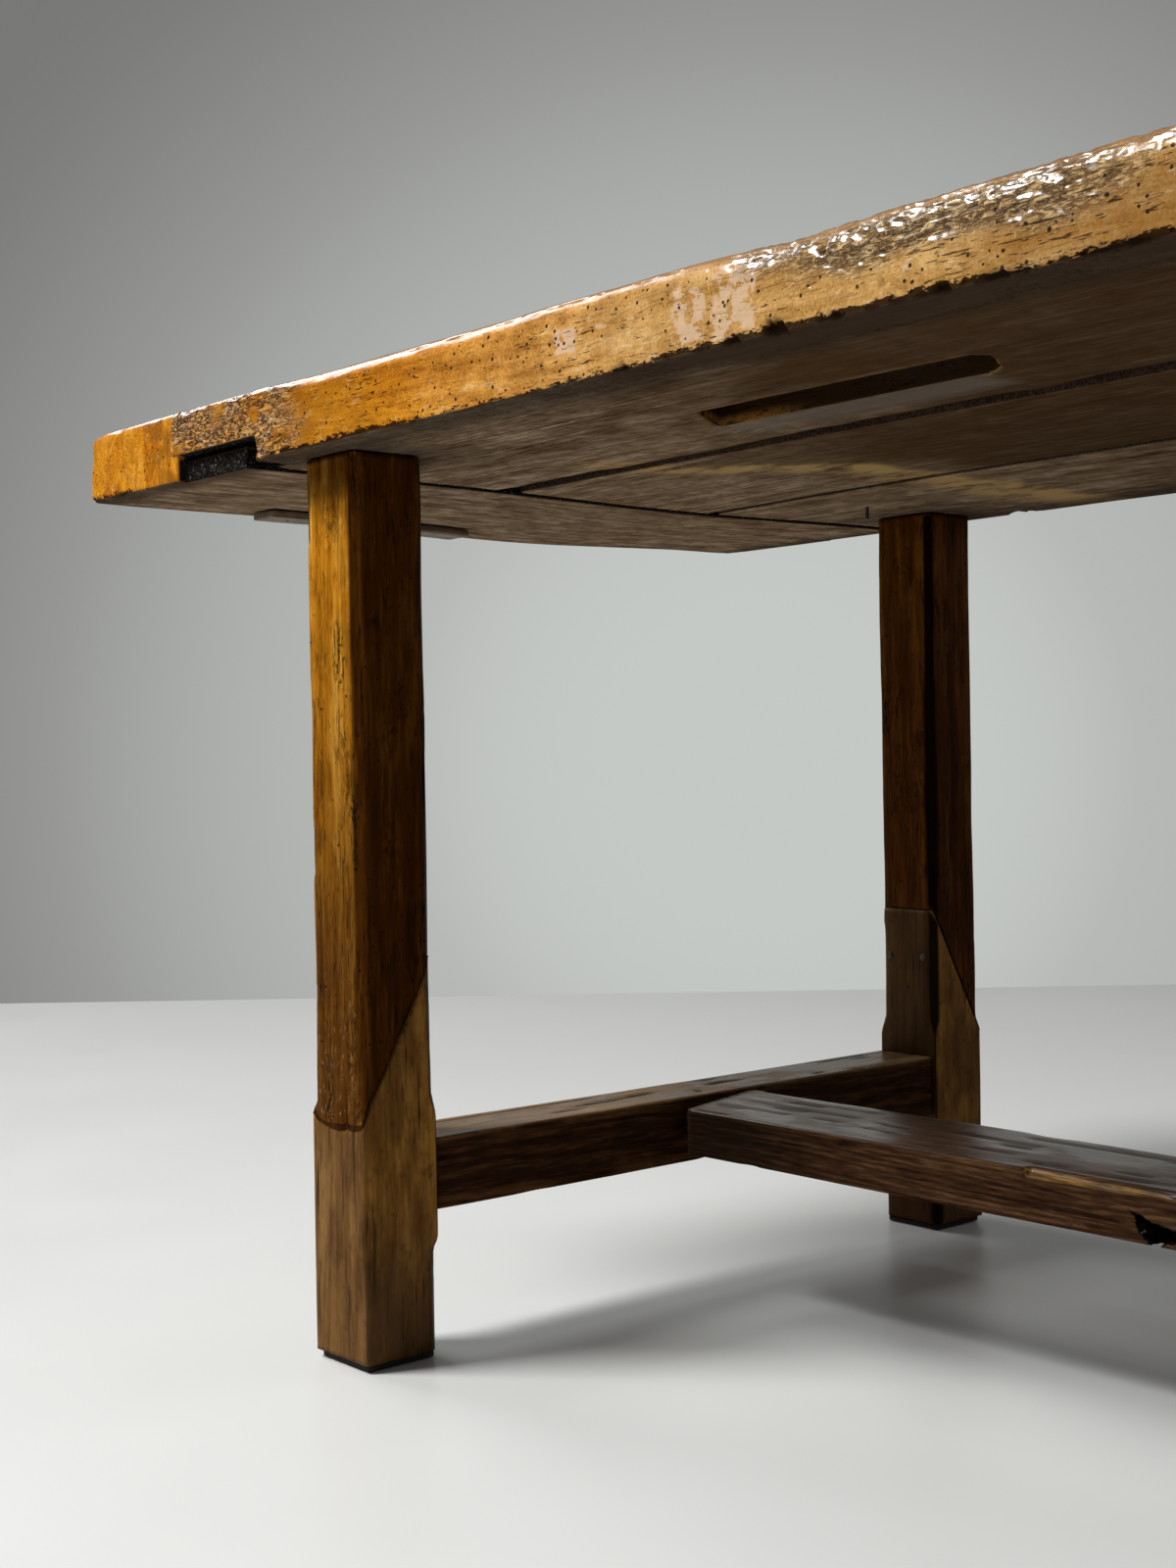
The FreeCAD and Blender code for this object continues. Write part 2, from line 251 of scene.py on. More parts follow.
class Timber:
    """A closed surface being worn into shape, with the masks that its material reads."""

    def __init__(self, name, points, faces, seed=0):
        self.name = name
        self.seed = seed
        self.mesh = bpy.data.meshes.new(name)
        self.mesh.from_pydata(points.tolist(), [], faces)
        self.mesh.shade_smooth()
        self.points = np.array(points, float)
        self.start = self.points.copy()
        ends = np.empty(len(self.mesh.edges) * 2, np.int32)
        self.mesh.edges.foreach_get("vertices", ends)
        self.edges = ends.reshape(-1, 2)
        self.masks = {}

    def noise(self, size, field):
        """Noise over the surface as it was carved; each field number gives another pattern."""
        return noise(self.start, size, self.seed + field)

    def rough(self, size, field, layers=3):
        """Layered noise over the surface as it was carved."""
        return rough(self.start, size, self.seed + field, layers)

    def normals(self):
        """Outward directions of the surface as it is now."""
        self.mesh.vertices.foreach_set("co", self.points.ravel())
        self.mesh.update()
        normals = np.empty(self.points.size)
        self.mesh.vertices.foreach_get("normal", normals)
        return normals.reshape(-1, 3)

    def ease(self, low, high, radius):
        """Rounds the outer arrises of the block between low and high."""
        radius = np.broadcast_to(radius, len(self.points))[:, None]
        core = np.clip(self.points, low + radius, high - radius)
        reach = self.points - core
        length = np.linalg.norm(reach, axis=1, keepdims=True)
        over = length > radius
        shrink = np.where(over, radius / np.maximum(length, 1e-9), 1.0)
        self.points = core + reach * shrink

    def soften(self, amount, rounds):
        """Draws each point towards its neighbours, as wear rounds off a cut edge."""
        first, second = self.edges.T
        count = np.bincount(self.edges.ravel(), minlength=len(self.points))[:, None]
        amount = np.broadcast_to(amount, len(self.points))[:, None]
        for _ in range(rounds):
            total = np.zeros_like(self.points)
            for axis in range(3):
                total[:, axis] += np.bincount(first, self.points[second, axis], len(self.points))
                total[:, axis] += np.bincount(second, self.points[first, axis], len(self.points))
            self.points += amount * (total / count - self.points)

    def sink(self, depth):
        """Wears the surface down by a depth that varies from place to place."""
        self.points -= self.normals() * np.asarray(depth)[:, None]

    def place(self, material, slot, *nodes):
        """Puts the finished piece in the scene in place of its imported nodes."""
        self.mesh.vertices.foreach_set("co", self.points.ravel())
        self.mesh.update()
        for name, values in self.masks.items():
            attribute = self.mesh.attributes.new(name, "FLOAT", "POINT")
            attribute.data.foreach_set("value", np.clip(values, 0, 1).astype(np.float32))
        self.mesh.materials.append(material)
        piece = bpy.data.objects.new(self.name, self.mesh)
        bpy.context.collection.objects.link(piece)
        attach(piece, "root")
        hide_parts(*nodes)


# Nodes

class Value:
    """An output of a shader node, with the signs that let it stand in a sum."""

    def __init__(self, nodes, socket):
        self.nodes = nodes
        self.socket = socket

    def __add__(self, other):
        return self.nodes.math("ADD", self, other)

    def __radd__(self, other):
        return self.nodes.math("ADD", other, self)

    def __sub__(self, other):
        return self.nodes.math("SUBTRACT", self, other)

    def __rsub__(self, other):
        return self.nodes.math("SUBTRACT", other, self)

    def __mul__(self, other):
        return self.nodes.math("MULTIPLY", self, other)

    def __truediv__(self, other):
        return self.nodes.math("DIVIDE", self, other)

    def __rtruediv__(self, other):
        return self.nodes.math("DIVIDE", other, self)

    def __abs__(self):
        return self.nodes.math("ABSOLUTE", self)


class Nodes:
    """Short ways to add and join the nodes of one material or group."""

    def __init__(self, tree):
        self.tree = tree

    def feed(self, socket, value):
        if isinstance(value, Value):
            self.tree.links.new(value.socket, socket)
        elif socket.type == "RGBA":
            socket.default_value = (*value, 1.0)
        else:
            socket.default_value = value

    def add(self, kind, inputs=None, **settings):
        """Adds a node with its inputs and settings, and returns its outputs by name and by number."""
        node = self.tree.nodes.new(kind)
        for name, value in settings.items():
            setattr(node, name, value)
        for name, value in (inputs or {}).items():
            self.feed(node.inputs[name], value)
        outputs = [Value(self, socket) for socket in node.outputs]
        return dict(enumerate(outputs)) | {value.socket.name: value for value in outputs}

    def math(self, operation, first, second=0.0):
        return self.add("ShaderNodeMath", {0: first, 1: second}, operation=operation)[0]

    def larger(self, value, *others):
        """The largest of several values."""
        for other in others:
            value = self.math("MAXIMUM", value, other)
        return value

    def vector(self, operation, first, second=(0.0, 0.0, 0.0)):
        return self.add("ShaderNodeVectorMath", {0: first, 1: second}, operation=operation)

    def stretch(self, vector, scales):
        return self.vector("MULTIPLY", vector, scales)[0]

    def mix(self, share, first, second):
        return self.add("ShaderNodeMix", {0: share, 6: first, 7: second}, data_type="RGBA")[2]

    def layers(self, colour, tints):
        """Lays tints over a colour in turn, each by its own share."""
        for share, tint in tints:
            colour = self.mix(share, colour, tint)
        return colour

    def ramp(self, value, low, high, start=0.0, end=1.0):
        inputs = {"Value": value, "From Min": low, "From Max": high, "To Min": start, "To Max": end}
        return self.add("ShaderNodeMapRange", inputs, interpolation_type="SMOOTHSTEP")[0]

    def tones(self, value, *stops):
        """A colour that runs through the given (place, colour) stops."""
        colour = self.add("ShaderNodeValToRGB", {0: value})[0]
        elements = colour.socket.node.color_ramp.elements
        while len(elements) < len(stops):
            elements.new(0.5)
        for element, (place, tint) in zip(elements, stops):
            element.position = place
            element.color = (*tint, 1.0)
        return colour

    def noise(self, vector, scale, detail=4.0, roughness=0.55, twist=0.0):
        """Noise of one scale, or of a scale for each axis."""
        if isinstance(scale, tuple):
            vector, scale = self.stretch(vector, scale), 1.0
        inputs = {"Vector": vector, "Scale": scale, "Detail": detail, "Roughness": roughness,
                  "Distortion": twist}
        return self.add("ShaderNodeTexNoise", inputs)[0]

    def mask(self, name):
        return self.add("ShaderNodeAttribute", attribute_name=name)["Fac"]

    def use(self, group, vector, **inputs):
        """Outputs of a shared effect over the given places."""
        return self.add("ShaderNodeGroup", {"Vector": vector, **inputs}, node_tree=group)


def effect(name, inputs, outputs):
    """An empty shader node group, with its inner nodes and its input and output sockets."""
    group = bpy.data.node_groups.new(name, "ShaderNodeTree")
    group.interface.new_socket("Vector", in_out="INPUT", socket_type="NodeSocketVector")
    for socket_name, value in inputs.items():
        socket = group.interface.new_socket(socket_name, in_out="INPUT", socket_type="NodeSocketFloat")
        socket.default_value = value
    for socket_name in outputs:
        group.interface.new_socket(socket_name, in_out="OUTPUT", socket_type="NodeSocketFloat")
    nodes = Nodes(group)
    given = nodes.add("NodeGroupInput")
    return group, nodes, given, group.nodes.new("NodeGroupOutput").inputs


def make_grain():
    """Growth rings, long streaks and open pores of a plank; x runs along the grain."""
    group, nodes, given, result = effect("Wood grain", {"Ring": 0.011, "Wander": 0.03},
                                         ["Rings", "Streaks", "Pores"])
    slow = nodes.stretch(given["Vector"], (1.6, 7.0, 7.0))
    slow = nodes.add("ShaderNodeTexNoise", {"Vector": slow, "Scale": 1.0, "Detail": 3.0})["Color"]
    centred = nodes.vector("SUBTRACT", slow, (0.5, 0.5, 0.5))[0]
    drift = nodes.stretch(centred, given["Wander"])
    bent = nodes.vector("ADD", given["Vector"], drift)[0]
    off_pith = nodes.vector("ADD", bent, (0.0, 0.017, 0.043))[0]
    radius = nodes.vector("LENGTH", nodes.stretch(off_pith, (0.0, 1.0, 1.0)))["Value"]
    turns = radius / given["Ring"]
    uneven = nodes.noise(bent, (3.0, 40.0, 40.0), 3.0)
    turns = turns + uneven * 1.6
    wave = nodes.math("SINE", turns * math.tau)
    rings = nodes.ramp(wave, -0.9, 1.0)
    nodes.feed(result["Rings"], rings)
    nodes.feed(result["Streaks"], nodes.noise(bent, (5.0, 170.0, 170.0), 5.0, 0.6))
    fine = nodes.noise(bent, (40.0, 1000.0, 1000.0), 2.0)
    nodes.feed(result["Pores"], nodes.ramp(fine, 0.58, 0.7))
    return group


def make_worm_holes():
    """Small flight holes of different sizes scattered over old wood."""
    group, nodes, given, result = effect("Worm holes", {"Spacing": 0.016, "Width": 0.0022}, ["Holes"])
    scale = 1.0 / given["Spacing"]
    shiver = nodes.add("ShaderNodeTexNoise", {"Vector": given["Vector"], "Scale": 700.0})["Color"]
    shiver = nodes.stretch(shiver, (0.0012, 0.0012, 0.0012))
    spot = nodes.vector("ADD", given["Vector"], shiver)[0]
    cells = nodes.add("ShaderNodeTexVoronoi", {"Vector": spot, "Scale": scale})
    distance = cells["Distance"] * given["Spacing"]
    pick = nodes.add("ShaderNodeSeparateColor", {0: cells["Color"]})
    size = 0.2 + nodes.math("POWER", pick[1], 3.0) * 0.8
    reach = given["Width"] * 0.5 * size
    hole = nodes.ramp(distance / reach, 0.8, 1.15, 1.0, 0.0)
    nodes.feed(result["Holes"], hole * nodes.math("GREATER_THAN", pick[0], 0.45))
    return group


def along_fibres(nodes, given):
    """Places counted in lengths along the grain and in widths across it."""
    along = 1.0 / given["Length"]
    over = 1.0 / given["Width"]
    scales = nodes.add("ShaderNodeCombineXYZ", {0: along, 1: over, 2: over})[0]
    return nodes.stretch(given["Vector"], scales)


def make_cracks():
    """Short drying cracks that follow the grain, in loose clusters."""
    group, nodes, given, result = effect("Drying cracks",
                                         {"Length": 0.03, "Width": 0.0016, "Amount": 0.5}, ["Cracks"])
    field = nodes.noise(along_fibres(nodes, given), 1.0, 2.5, 0.55)
    cluster = nodes.noise(given["Vector"], (9.0, 34.0, 34.0), 3.0)
    limit = 0.96 - given["Amount"] * 0.28 - cluster * 0.32
    nodes.feed(result["Cracks"], nodes.ramp(field - limit, 0.0, 0.05))
    return group


def make_crevices():
    """Wandering crevices between the fibres of weathered wood, longer along the grain."""
    group, nodes, given, result = effect("Crevices", {"Length": 0.012, "Width": 0.004},
                                         ["Crevices", "Ridges"])
    field = nodes.noise(along_fibres(nodes, given), 1.0, 4.0, 0.6, 0.5)
    gap = abs(field - 0.5)
    nodes.feed(result["Crevices"], nodes.ramp(gap, 0.01, 0.06, 1.0, 0.0))
    nodes.feed(result["Ridges"], nodes.ramp(gap, 0.0, 0.16))
    return group


def make_blotches():
    """Soft patches of dirt, dust or worn finish."""
    group, nodes, given, result = effect("Blotches", {"Size": 0.08, "Cover": 0.5}, ["Blotches"])
    scale = 1.0 / given["Size"]
    field = nodes.noise(given["Vector"], scale, 5.0, 0.6)
    limit = nodes.ramp(given["Cover"], 0.0, 1.0, 0.75, 0.25)
    nodes.feed(result["Blotches"], nodes.ramp(field - limit, -0.09, 0.09))
    return group


grain_effect = make_grain()
worm_effect = make_worm_holes()
crack_effect = make_cracks()
crevice_effect = make_crevices()
blotch_effect = make_blotches()


# Materials

# Axes along and across the grain, for each way a piece lies
grain_order = {"x": (0, 1, 2), "y": (1, 0, 2), "z": (2, 0, 1)}


def new_material(name, grain):
    """A bare material, its nodes and a position vector whose x runs along the grain."""
    material = bpy.data.materials.new(name)
    material.use_nodes = True
    nodes = Nodes(material.node_tree)
    split = nodes.add("ShaderNodeSeparateXYZ", {0: nodes.add("ShaderNodeTexCoord")["Object"]})
    order = grain_order[grain]
    vector = nodes.add("ShaderNodeCombineXYZ", {axis: split[order[axis]] for axis in range(3)})[0]
    return material, nodes, vector


def dress(material, nodes, height, distance, surface):
    """Joins the finished values and the relief to a material's shader."""
    shader = material.node_tree.nodes["Principled BSDF"]
    bump = nodes.add("ShaderNodeBump", {"Height": height, "Strength": 1.0, "Distance": distance})
    for name, value in {**surface, "Normal": bump["Normal"]}.items():
        nodes.feed(shader.inputs[name], value)
    return material


def top_wood(name, grain):
    """Waxed amber edges, brown tabletop and dirty brown underside of the old planks, with painted shade and
    painted light underneath.
    """
    material, nodes, vector = new_material(name, grain)
    own_place = nodes.add("ShaderNodeCombineXYZ", {0: nodes.mask("plank")})[0]
    vector = nodes.vector("ADD", vector, nodes.stretch(own_place, (3.7, 0.0, 0.0)))[0]
    figure = nodes.use(grain_effect, vector, Ring=0.016, Wander=0.08)
    holes = nodes.use(worm_effect, vector, Spacing=0.0047, Width=0.0026)["Holes"]
    cracks = nodes.use(crack_effect, vector, Length=0.013, Width=0.0013, Amount=0.52)["Cracks"]
    torn_net = nodes.use(crevice_effect, vector, Length=0.01, Width=0.003)
    eaten_net = nodes.use(crevice_effect, vector, Length=0.013, Width=0.004)
    stain = nodes.use(blotch_effect, vector, Size=0.045, Cover=0.42)["Blotches"]
    mottle = nodes.use(blotch_effect, vector, Size=0.012, Cover=0.45)["Blotches"]
    lengthwise = nodes.stretch(vector, (0.35, 1.0, 1.0))
    dust = nodes.use(blotch_effect, lengthwise, Size=0.1, Cover=0.5)["Blotches"]
    grit = nodes.noise(vector, 520.0, 2.0, 0.6)
    cloud = nodes.noise(vector, (17.0, 36.0, 36.0), 6.0, 0.68)
    upright = nodes.noise(vector, (30.0, 40.0, 15.0), 6.0, 0.68, 1.4)
    names = ("underside", "tabletop", "hollow_shade", "torn", "eaten", "end_grain", "soot_and_shade")
    underside, tabletop, hollow_shade, torn, eaten, end_grain, soot_and_shade = map(nodes.mask, names)
    tone = (figure["Streaks"] * 0.5 + cloud * 0.5) * (1.0 - end_grain) + upright * end_grain
    speckled = tone + (grit - 0.5) * 0.45

    amber = nodes.tones(speckled, (0.3, (0.24, 0.064, 0.001)), (0.44, (0.45, 0.148, 0.002)),
                        (0.55, (0.6, 0.23, 0.006)), (0.7, (0.73, 0.345, 0.034)))
    tan = nodes.tones(speckled, (0.3, (0.3, 0.145, 0.03)), (0.44, (0.52, 0.285, 0.085)),
                      (0.55, (0.64, 0.385, 0.14)), (0.7, (0.74, 0.52, 0.26)))
    bleached = nodes.mask("bleached")
    scuffs = nodes.noise(vector, (60.0, 260.0, 260.0), 4.0, 0.6, 0.6)
    scuffs = (nodes.ramp(scuffs, 0.57, 0.64) * nodes.ramp(cloud, 0.46, 0.56)
              * nodes.ramp(bleached, 0.0, 0.6, 0.2, 0.55))
    scratches = nodes.ramp(nodes.noise(vector, (400.0, 60.0, 60.0), 2.0), 0.68, 0.74)
    scratches = scratches * nodes.ramp(bleached, 0.0, 0.6, 0.22, 0.5)
    spongy = nodes.tones(eaten_net["Ridges"], (0.08, (0.17, 0.06, 0.006)), (0.4, (0.5, 0.195, 0.016)),
                         (0.85, (0.64, 0.33, 0.08)))
    fibres = nodes.noise(vector, (85.0, 330.0, 330.0), 3.0, 0.6, 1.2)
    fibres = abs(fibres - 0.5)
    fibres = nodes.ramp(fibres, 0.015, 0.05, 1.0, 0.0) * nodes.ramp(cloud, 0.4, 0.54)
    spongy = nodes.mix(fibres * 0.85, spongy, (0.78, 0.58, 0.38))
    frayed = nodes.tones(torn_net["Ridges"], (0.1, (0.24, 0.135, 0.06)), (0.45, (0.5, 0.31, 0.125)),
                         (0.85, (0.66, 0.47, 0.24)))
    flakes = nodes.noise(vector, 120.0, 5.0, 0.62)
    scraped = nodes.mask("scrape") * nodes.ramp(flakes, 0.44, 0.48)
    gaps = eaten * nodes.ramp(eaten_net["Crevices"], 0.3, 1.0)
    torn_gaps = nodes.ramp(torn_net["Crevices"], 0.25, 1.0) * 0.8
    gaps = nodes.larger(gaps, torn * torn_gaps)
    crumble = nodes.noise(vector, (130.0, 330.0, 330.0), 4.0, 0.68)
    crumble = nodes.mask("low_edge") * 0.72 + crumble
    crumble = nodes.ramp(crumble, 0.98, 1.04)
    edge = nodes.layers(amber, [
        (bleached, tan),
        (nodes.mask("smoked") * 0.6, (0.19, 0.066, 0.004)),
        (stain * 0.3, (0.22, 0.068, 0.003)),
        (mottle * 0.3, (0.24, 0.088, 0.008)),
        (scuffs, (0.72, 0.52, 0.3)),
        (scratches, (0.76, 0.57, 0.33)),
        (eaten * 0.9, spongy),
        (torn * 0.85, frayed),
        (scraped * 0.8, (0.66, 0.46, 0.3)),
        (gaps * 0.9, (0.035, 0.016, 0.011)),
        # Painted shade: near black in recesses, seam sides, pits and chips.
        (hollow_shade * 0.985, (0.016, 0.008, 0.004)),
        (crumble * 0.95, (0.012, 0.005, 0.003)),
    ])

    hairs = nodes.noise(vector, (26.0, 430.0, 430.0), 4.0, 0.7)
    worn_tone = figure["Streaks"] * 0.26 + cloud * 0.38 + hairs * 0.36
    underside_dirt_and_light = nodes.tones(worn_tone, (0.41, (0.046, 0.026, 0.014)), (0.47, (0.13, 0.084, 0.05)),
                       (0.53, (0.23, 0.162, 0.104)), (0.6, (0.4, 0.3, 0.205)))
    underside_dirt_and_light = nodes.layers(underside_dirt_and_light, [
        (dust * 0.32, (0.19, 0.125, 0.066)),
        (mottle * 0.38, (0.058, 0.033, 0.017)),
        # Painted shade towards the right end of the underside.
        (nodes.mask("right_shade") * 0.85, (0.046, 0.023, 0.009)),
        # Painted light: a warm band underneath.
        (nodes.mask("painted_bounce_light") * nodes.ramp(cloud, 0.36, 0.54), (0.42, 0.27, 0.105)),
        # Painted shade along the outer edges underneath and beside the legs.
        (nodes.mask("shade") * 0.7, (0.038, 0.027, 0.02)),
        # Painted highlight on the dish beside the housing.
        (nodes.mask("dish_highlight"), (0.2, 0.175, 0.15)),
        # Painted shade in recesses and on seam sides underneath.
        (hollow_shade * 0.97, (0.012, 0.006, 0.003)),
    ])

    broad = nodes.use(grain_effect, vector, Ring=0.012, Wander=0.07)
    checks = nodes.use(crack_effect, vector, Length=0.22, Width=0.0034, Amount=0.46)["Cracks"]
    squat = nodes.stretch(vector, (0.62, 1.0, 1.0))
    knots = nodes.use(worm_effect, squat, Spacing=0.17, Width=0.06)["Holes"]
    halos = nodes.use(worm_effect, squat, Spacing=0.17, Width=0.11)["Holes"]
    board_tone = broad["Rings"] * 0.09 + figure["Streaks"] * 0.62 + cloud * 0.32
    polish = nodes.tones(board_tone, (0.38, (0.08, 0.03, 0.008)), (0.5, (0.19, 0.082, 0.023)),
                         (0.6, (0.3, 0.145, 0.047)), (0.72, (0.4, 0.22, 0.085)))
    polish = nodes.layers(polish, [
        (dust * 0.45, (0.13, 0.05, 0.014)),
        (stain * 0.35, (0.08, 0.03, 0.008)),
        (nodes.mask("handled") * 0.45, (0.42, 0.22, 0.08)),
        (nodes.mask("seam_dirt") * 0.7, (0.045, 0.018, 0.006)),
        (halos * 0.35, (0.14, 0.052, 0.014)),
        (knots * 0.75, (0.05, 0.018, 0.006)),
        (checks * 0.85, (0.02, 0.008, 0.003)),
    ])

    # Black of the tongue end, and painted shade on seam sides and in the joint mouth.
    soot_and_shade_tone = nodes.tones(grit, (0.45, (0.006, 0.005, 0.005)), (0.62, (0.022, 0.02, 0.019)))
    specks = nodes.ramp(grit, 0.62, 0.7) * nodes.ramp(soot_and_shade, 0.92, 1.0)
    soot_and_shade_tone = nodes.mix(specks, soot_and_shade_tone, (0.16, 0.14, 0.12))
    pores = figure["Pores"] * nodes.ramp(end_grain, 0.0, 1.0, 0.3, 0.1)
    open_marks = nodes.larger(holes, cracks * 0.85)
    sheltered = nodes.larger(underside * 0.8, tabletop * 0.6, end_grain * 0.3)
    open_marks = open_marks * (1.0 - sheltered)
    colour = nodes.layers(edge, [
        (underside, underside_dirt_and_light),
        (tabletop, polish),
        (soot_and_shade, soot_and_shade_tone),
        (pores, (0.05, 0.02, 0.005)),
        (open_marks * 0.94, (0.014, 0.005, 0.002)),
    ])

    worn = nodes.larger(underside, hollow_shade, soot_and_shade, crumble)
    rough_wax = nodes.ramp(figure["Streaks"], 0.25, 0.75, 0.46, 0.34)
    thick_wax = nodes.larger(torn * 0.7, tabletop)
    streaked = nodes.mask("upper_edge") * nodes.ramp(hairs, 0.4, 0.56, 0.1, 1.0)
    thick_wax = nodes.larger(thick_wax, streaked)
    wax = nodes.ramp(thick_wax, 0.0, 1.0, 0.35, 1.0) * nodes.ramp(worn, 0.0, 0.6, 1.0, 0.0)
    grain_height = nodes.ramp(end_grain, 0.0, 1.0, 0.24, 0.05)
    relief = figure["Streaks"] * grain_height + pores * -0.3 + grit * 0.24 - open_marks - crumble * 0.8
    spongy_height = eaten_net["Ridges"] + fibres * 0.5
    relief = relief + eaten * spongy_height
    torn_height = torn_net["Ridges"] * 1.3
    relief = relief + torn * torn_height
    return dress(material, nodes, relief, 0.0012, {
        "Base Color": colour,
        "Roughness": rough_wax + worn * 0.4,
        "Coat Weight": wax,
        "Coat Roughness": 0.2,
        "Specular IOR Level": 0.0,
    })


def post_wood():
    """Leg posts: amber on the outer faces, dark brown where old dirt has not been rubbed off."""
    material, nodes, vector = new_material("leg_post_wood", "z")
    figure = nodes.use(grain_effect, vector, Ring=0.018, Wander=0.05)
    holes = nodes.use(worm_effect, vector, Spacing=0.007, Width=0.0029)["Holes"]
    cracks = nodes.use(crack_effect, vector, Length=0.02, Width=0.0012, Amount=0.66)["Cracks"]
    net = nodes.use(crevice_effect, vector, Length=0.016, Width=0.0048)
    decay = nodes.stretch(vector, (0.45, 1.0, 1.0))
    decay = nodes.use(blotch_effect, decay, Size=0.03, Cover=0.4)["Blotches"]
    mottle = nodes.use(blotch_effect, vector, Size=0.011, Cover=0.4)["Blotches"]
    lengthwise = nodes.stretch(vector, (0.35, 1.0, 1.0))
    grime = nodes.use(blotch_effect, lengthwise, Size=0.03, Cover=0.42)["Blotches"]
    tone = figure["Rings"] * 0.1 + figure["Streaks"] * 0.9
    smear = nodes.noise(vector, (7.0, 40.0, 40.0), 5.0, 0.65)
    hairs = nodes.noise(vector, (24.0, 420.0, 420.0), 4.0, 0.7)
    tone = tone * 0.36 + smear * 0.34 + hairs * 0.3
    dark = nodes.tones(tone, (0.37, (0.018, 0.004, 0.0003)), (0.5, (0.052, 0.014, 0.0007)),
                       (0.63, (0.13, 0.041, 0.003)))
    light = nodes.tones(tone, (0.37, (0.25, 0.078, 0.002)), (0.5, (0.49, 0.19, 0.008)),
                        (0.63, (0.74, 0.4, 0.07)))
    rubbed = nodes.mask("arris") * nodes.ramp(figure["Streaks"], 0.35, 0.65)
    crumbled = nodes.mask("crumbled")
    crumbs = nodes.ramp(nodes.noise(vector, (120.0, 300.0, 300.0), 3.0), 0.6, 0.67)
    marks = nodes.larger(holes, cracks * 0.9)
    fissures = nodes.ramp(net["Crevices"], 0.35, 1.0) * nodes.ramp(smear, 0.4, 0.56)
    decayed = nodes.larger(crumbled, decay * 0.85)
    marks = nodes.larger(marks, fissures * decayed)
    colour = nodes.layers(dark, [
        # Rubbed amber, with painted shadow under the tabletop.
        (nodes.mask("amber_and_top_shadow"), light),
        (mottle * 0.28, (0.06, 0.018, 0.001)),
        (grime * 0.42, (0.046, 0.014, 0.001)),
        (rubbed * 0.22, (0.3, 0.125, 0.022)),
        # Painted shade in fissures and dents.
        (nodes.mask("hollow_shade") * 0.8, (0.012, 0.004, 0.001)),
        (crumbs * crumbled * 0.5, (0.34, 0.215, 0.115)),
        (figure["Pores"] * 0.16, (0.02, 0.006, 0.001)),
        (marks * 0.94, (0.008, 0.003, 0.001)),
        # Painted shade on the inner corner chamfer.
        (nodes.mask("nook_shade") * 0.92, (0.003, 0.001, 0.0005)),
    ])
    relief = figure["Streaks"] * 0.35 - marks + hairs * 0.3
    return dress(material, nodes, relief, 0.0012, {
        "Base Color": colour,
        "Roughness": nodes.ramp(figure["Streaks"], 0.2, 0.8, 0.58, 0.42),
        "Specular IOR Level": 0.02,
    })


def foot_wood():
    """Spliced feet: newer, browner timber with stains."""
    material, nodes, vector = new_material("leg_foot_wood", "z")
    figure = nodes.use(grain_effect, vector, Ring=0.012, Wander=0.07)
    cracks = nodes.use(crack_effect, vector, Length=0.045, Width=0.0016, Amount=0.52)["Cracks"]
    lengthwise = nodes.stretch(vector, (0.4, 1.0, 1.0))
    grime = nodes.use(blotch_effect, lengthwise, Size=0.04, Cover=0.45)["Blotches"]
    spots = nodes.use(blotch_effect, vector, Size=0.009, Cover=0.32)["Blotches"]
    smear = nodes.noise(vector, (9.0, 34.0, 34.0), 5.0, 0.65)
    tone = smear * 0.55 + figure["Streaks"] * 0.45
    colour = nodes.tones(tone, (0.32, (0.08, 0.034, 0.006)), (0.5, (0.155, 0.073, 0.018)),
                         (0.66, (0.25, 0.132, 0.042)))
    golden = nodes.tones(tone, (0.32, (0.17, 0.066, 0.009)), (0.66, (0.52, 0.25, 0.045)))
    runs = nodes.noise(vector, (6.0, 90.0, 90.0), 4.0, 0.6, 0.4)
    rubbed = nodes.mask("arris") * nodes.ramp(figure["Streaks"], 0.35, 0.65)
    colour = nodes.layers(colour, [
        (nodes.mask("honey") * 0.8, golden),
        (grime * 0.68, (0.058, 0.02, 0.003)),
        (nodes.ramp(runs, 0.56, 0.66, 0.0, 0.75), (0.034, 0.013, 0.003)),
        (nodes.mask("muddy") * nodes.ramp(smear, 0.35, 0.6, 0.4, 0.85), (0.07, 0.034, 0.013)),
        (spots * 0.45, (0.045, 0.018, 0.004)),
        (rubbed * 0.3, (0.28, 0.15, 0.06)),
        (nodes.mask("shade"), (0.04, 0.015, 0.002)),
        (figure["Pores"] * 0.45, (0.03, 0.011, 0.003)),
        (cracks * 0.9, (0.014, 0.005, 0.002)),
        # Painted shade on the inner corner chamfer.
        (nodes.mask("nook_shade") * 0.9, (0.003, 0.001, 0.0005)),
    ])
    relief = figure["Streaks"] * 0.35 - cracks
    return dress(material, nodes, relief, 0.0009, {
        "Base Color": colour,
        "Roughness": nodes.ramp(figure["Streaks"], 0.2, 0.8, 0.64, 0.48),
        "Specular IOR Level": 0.06,
    })


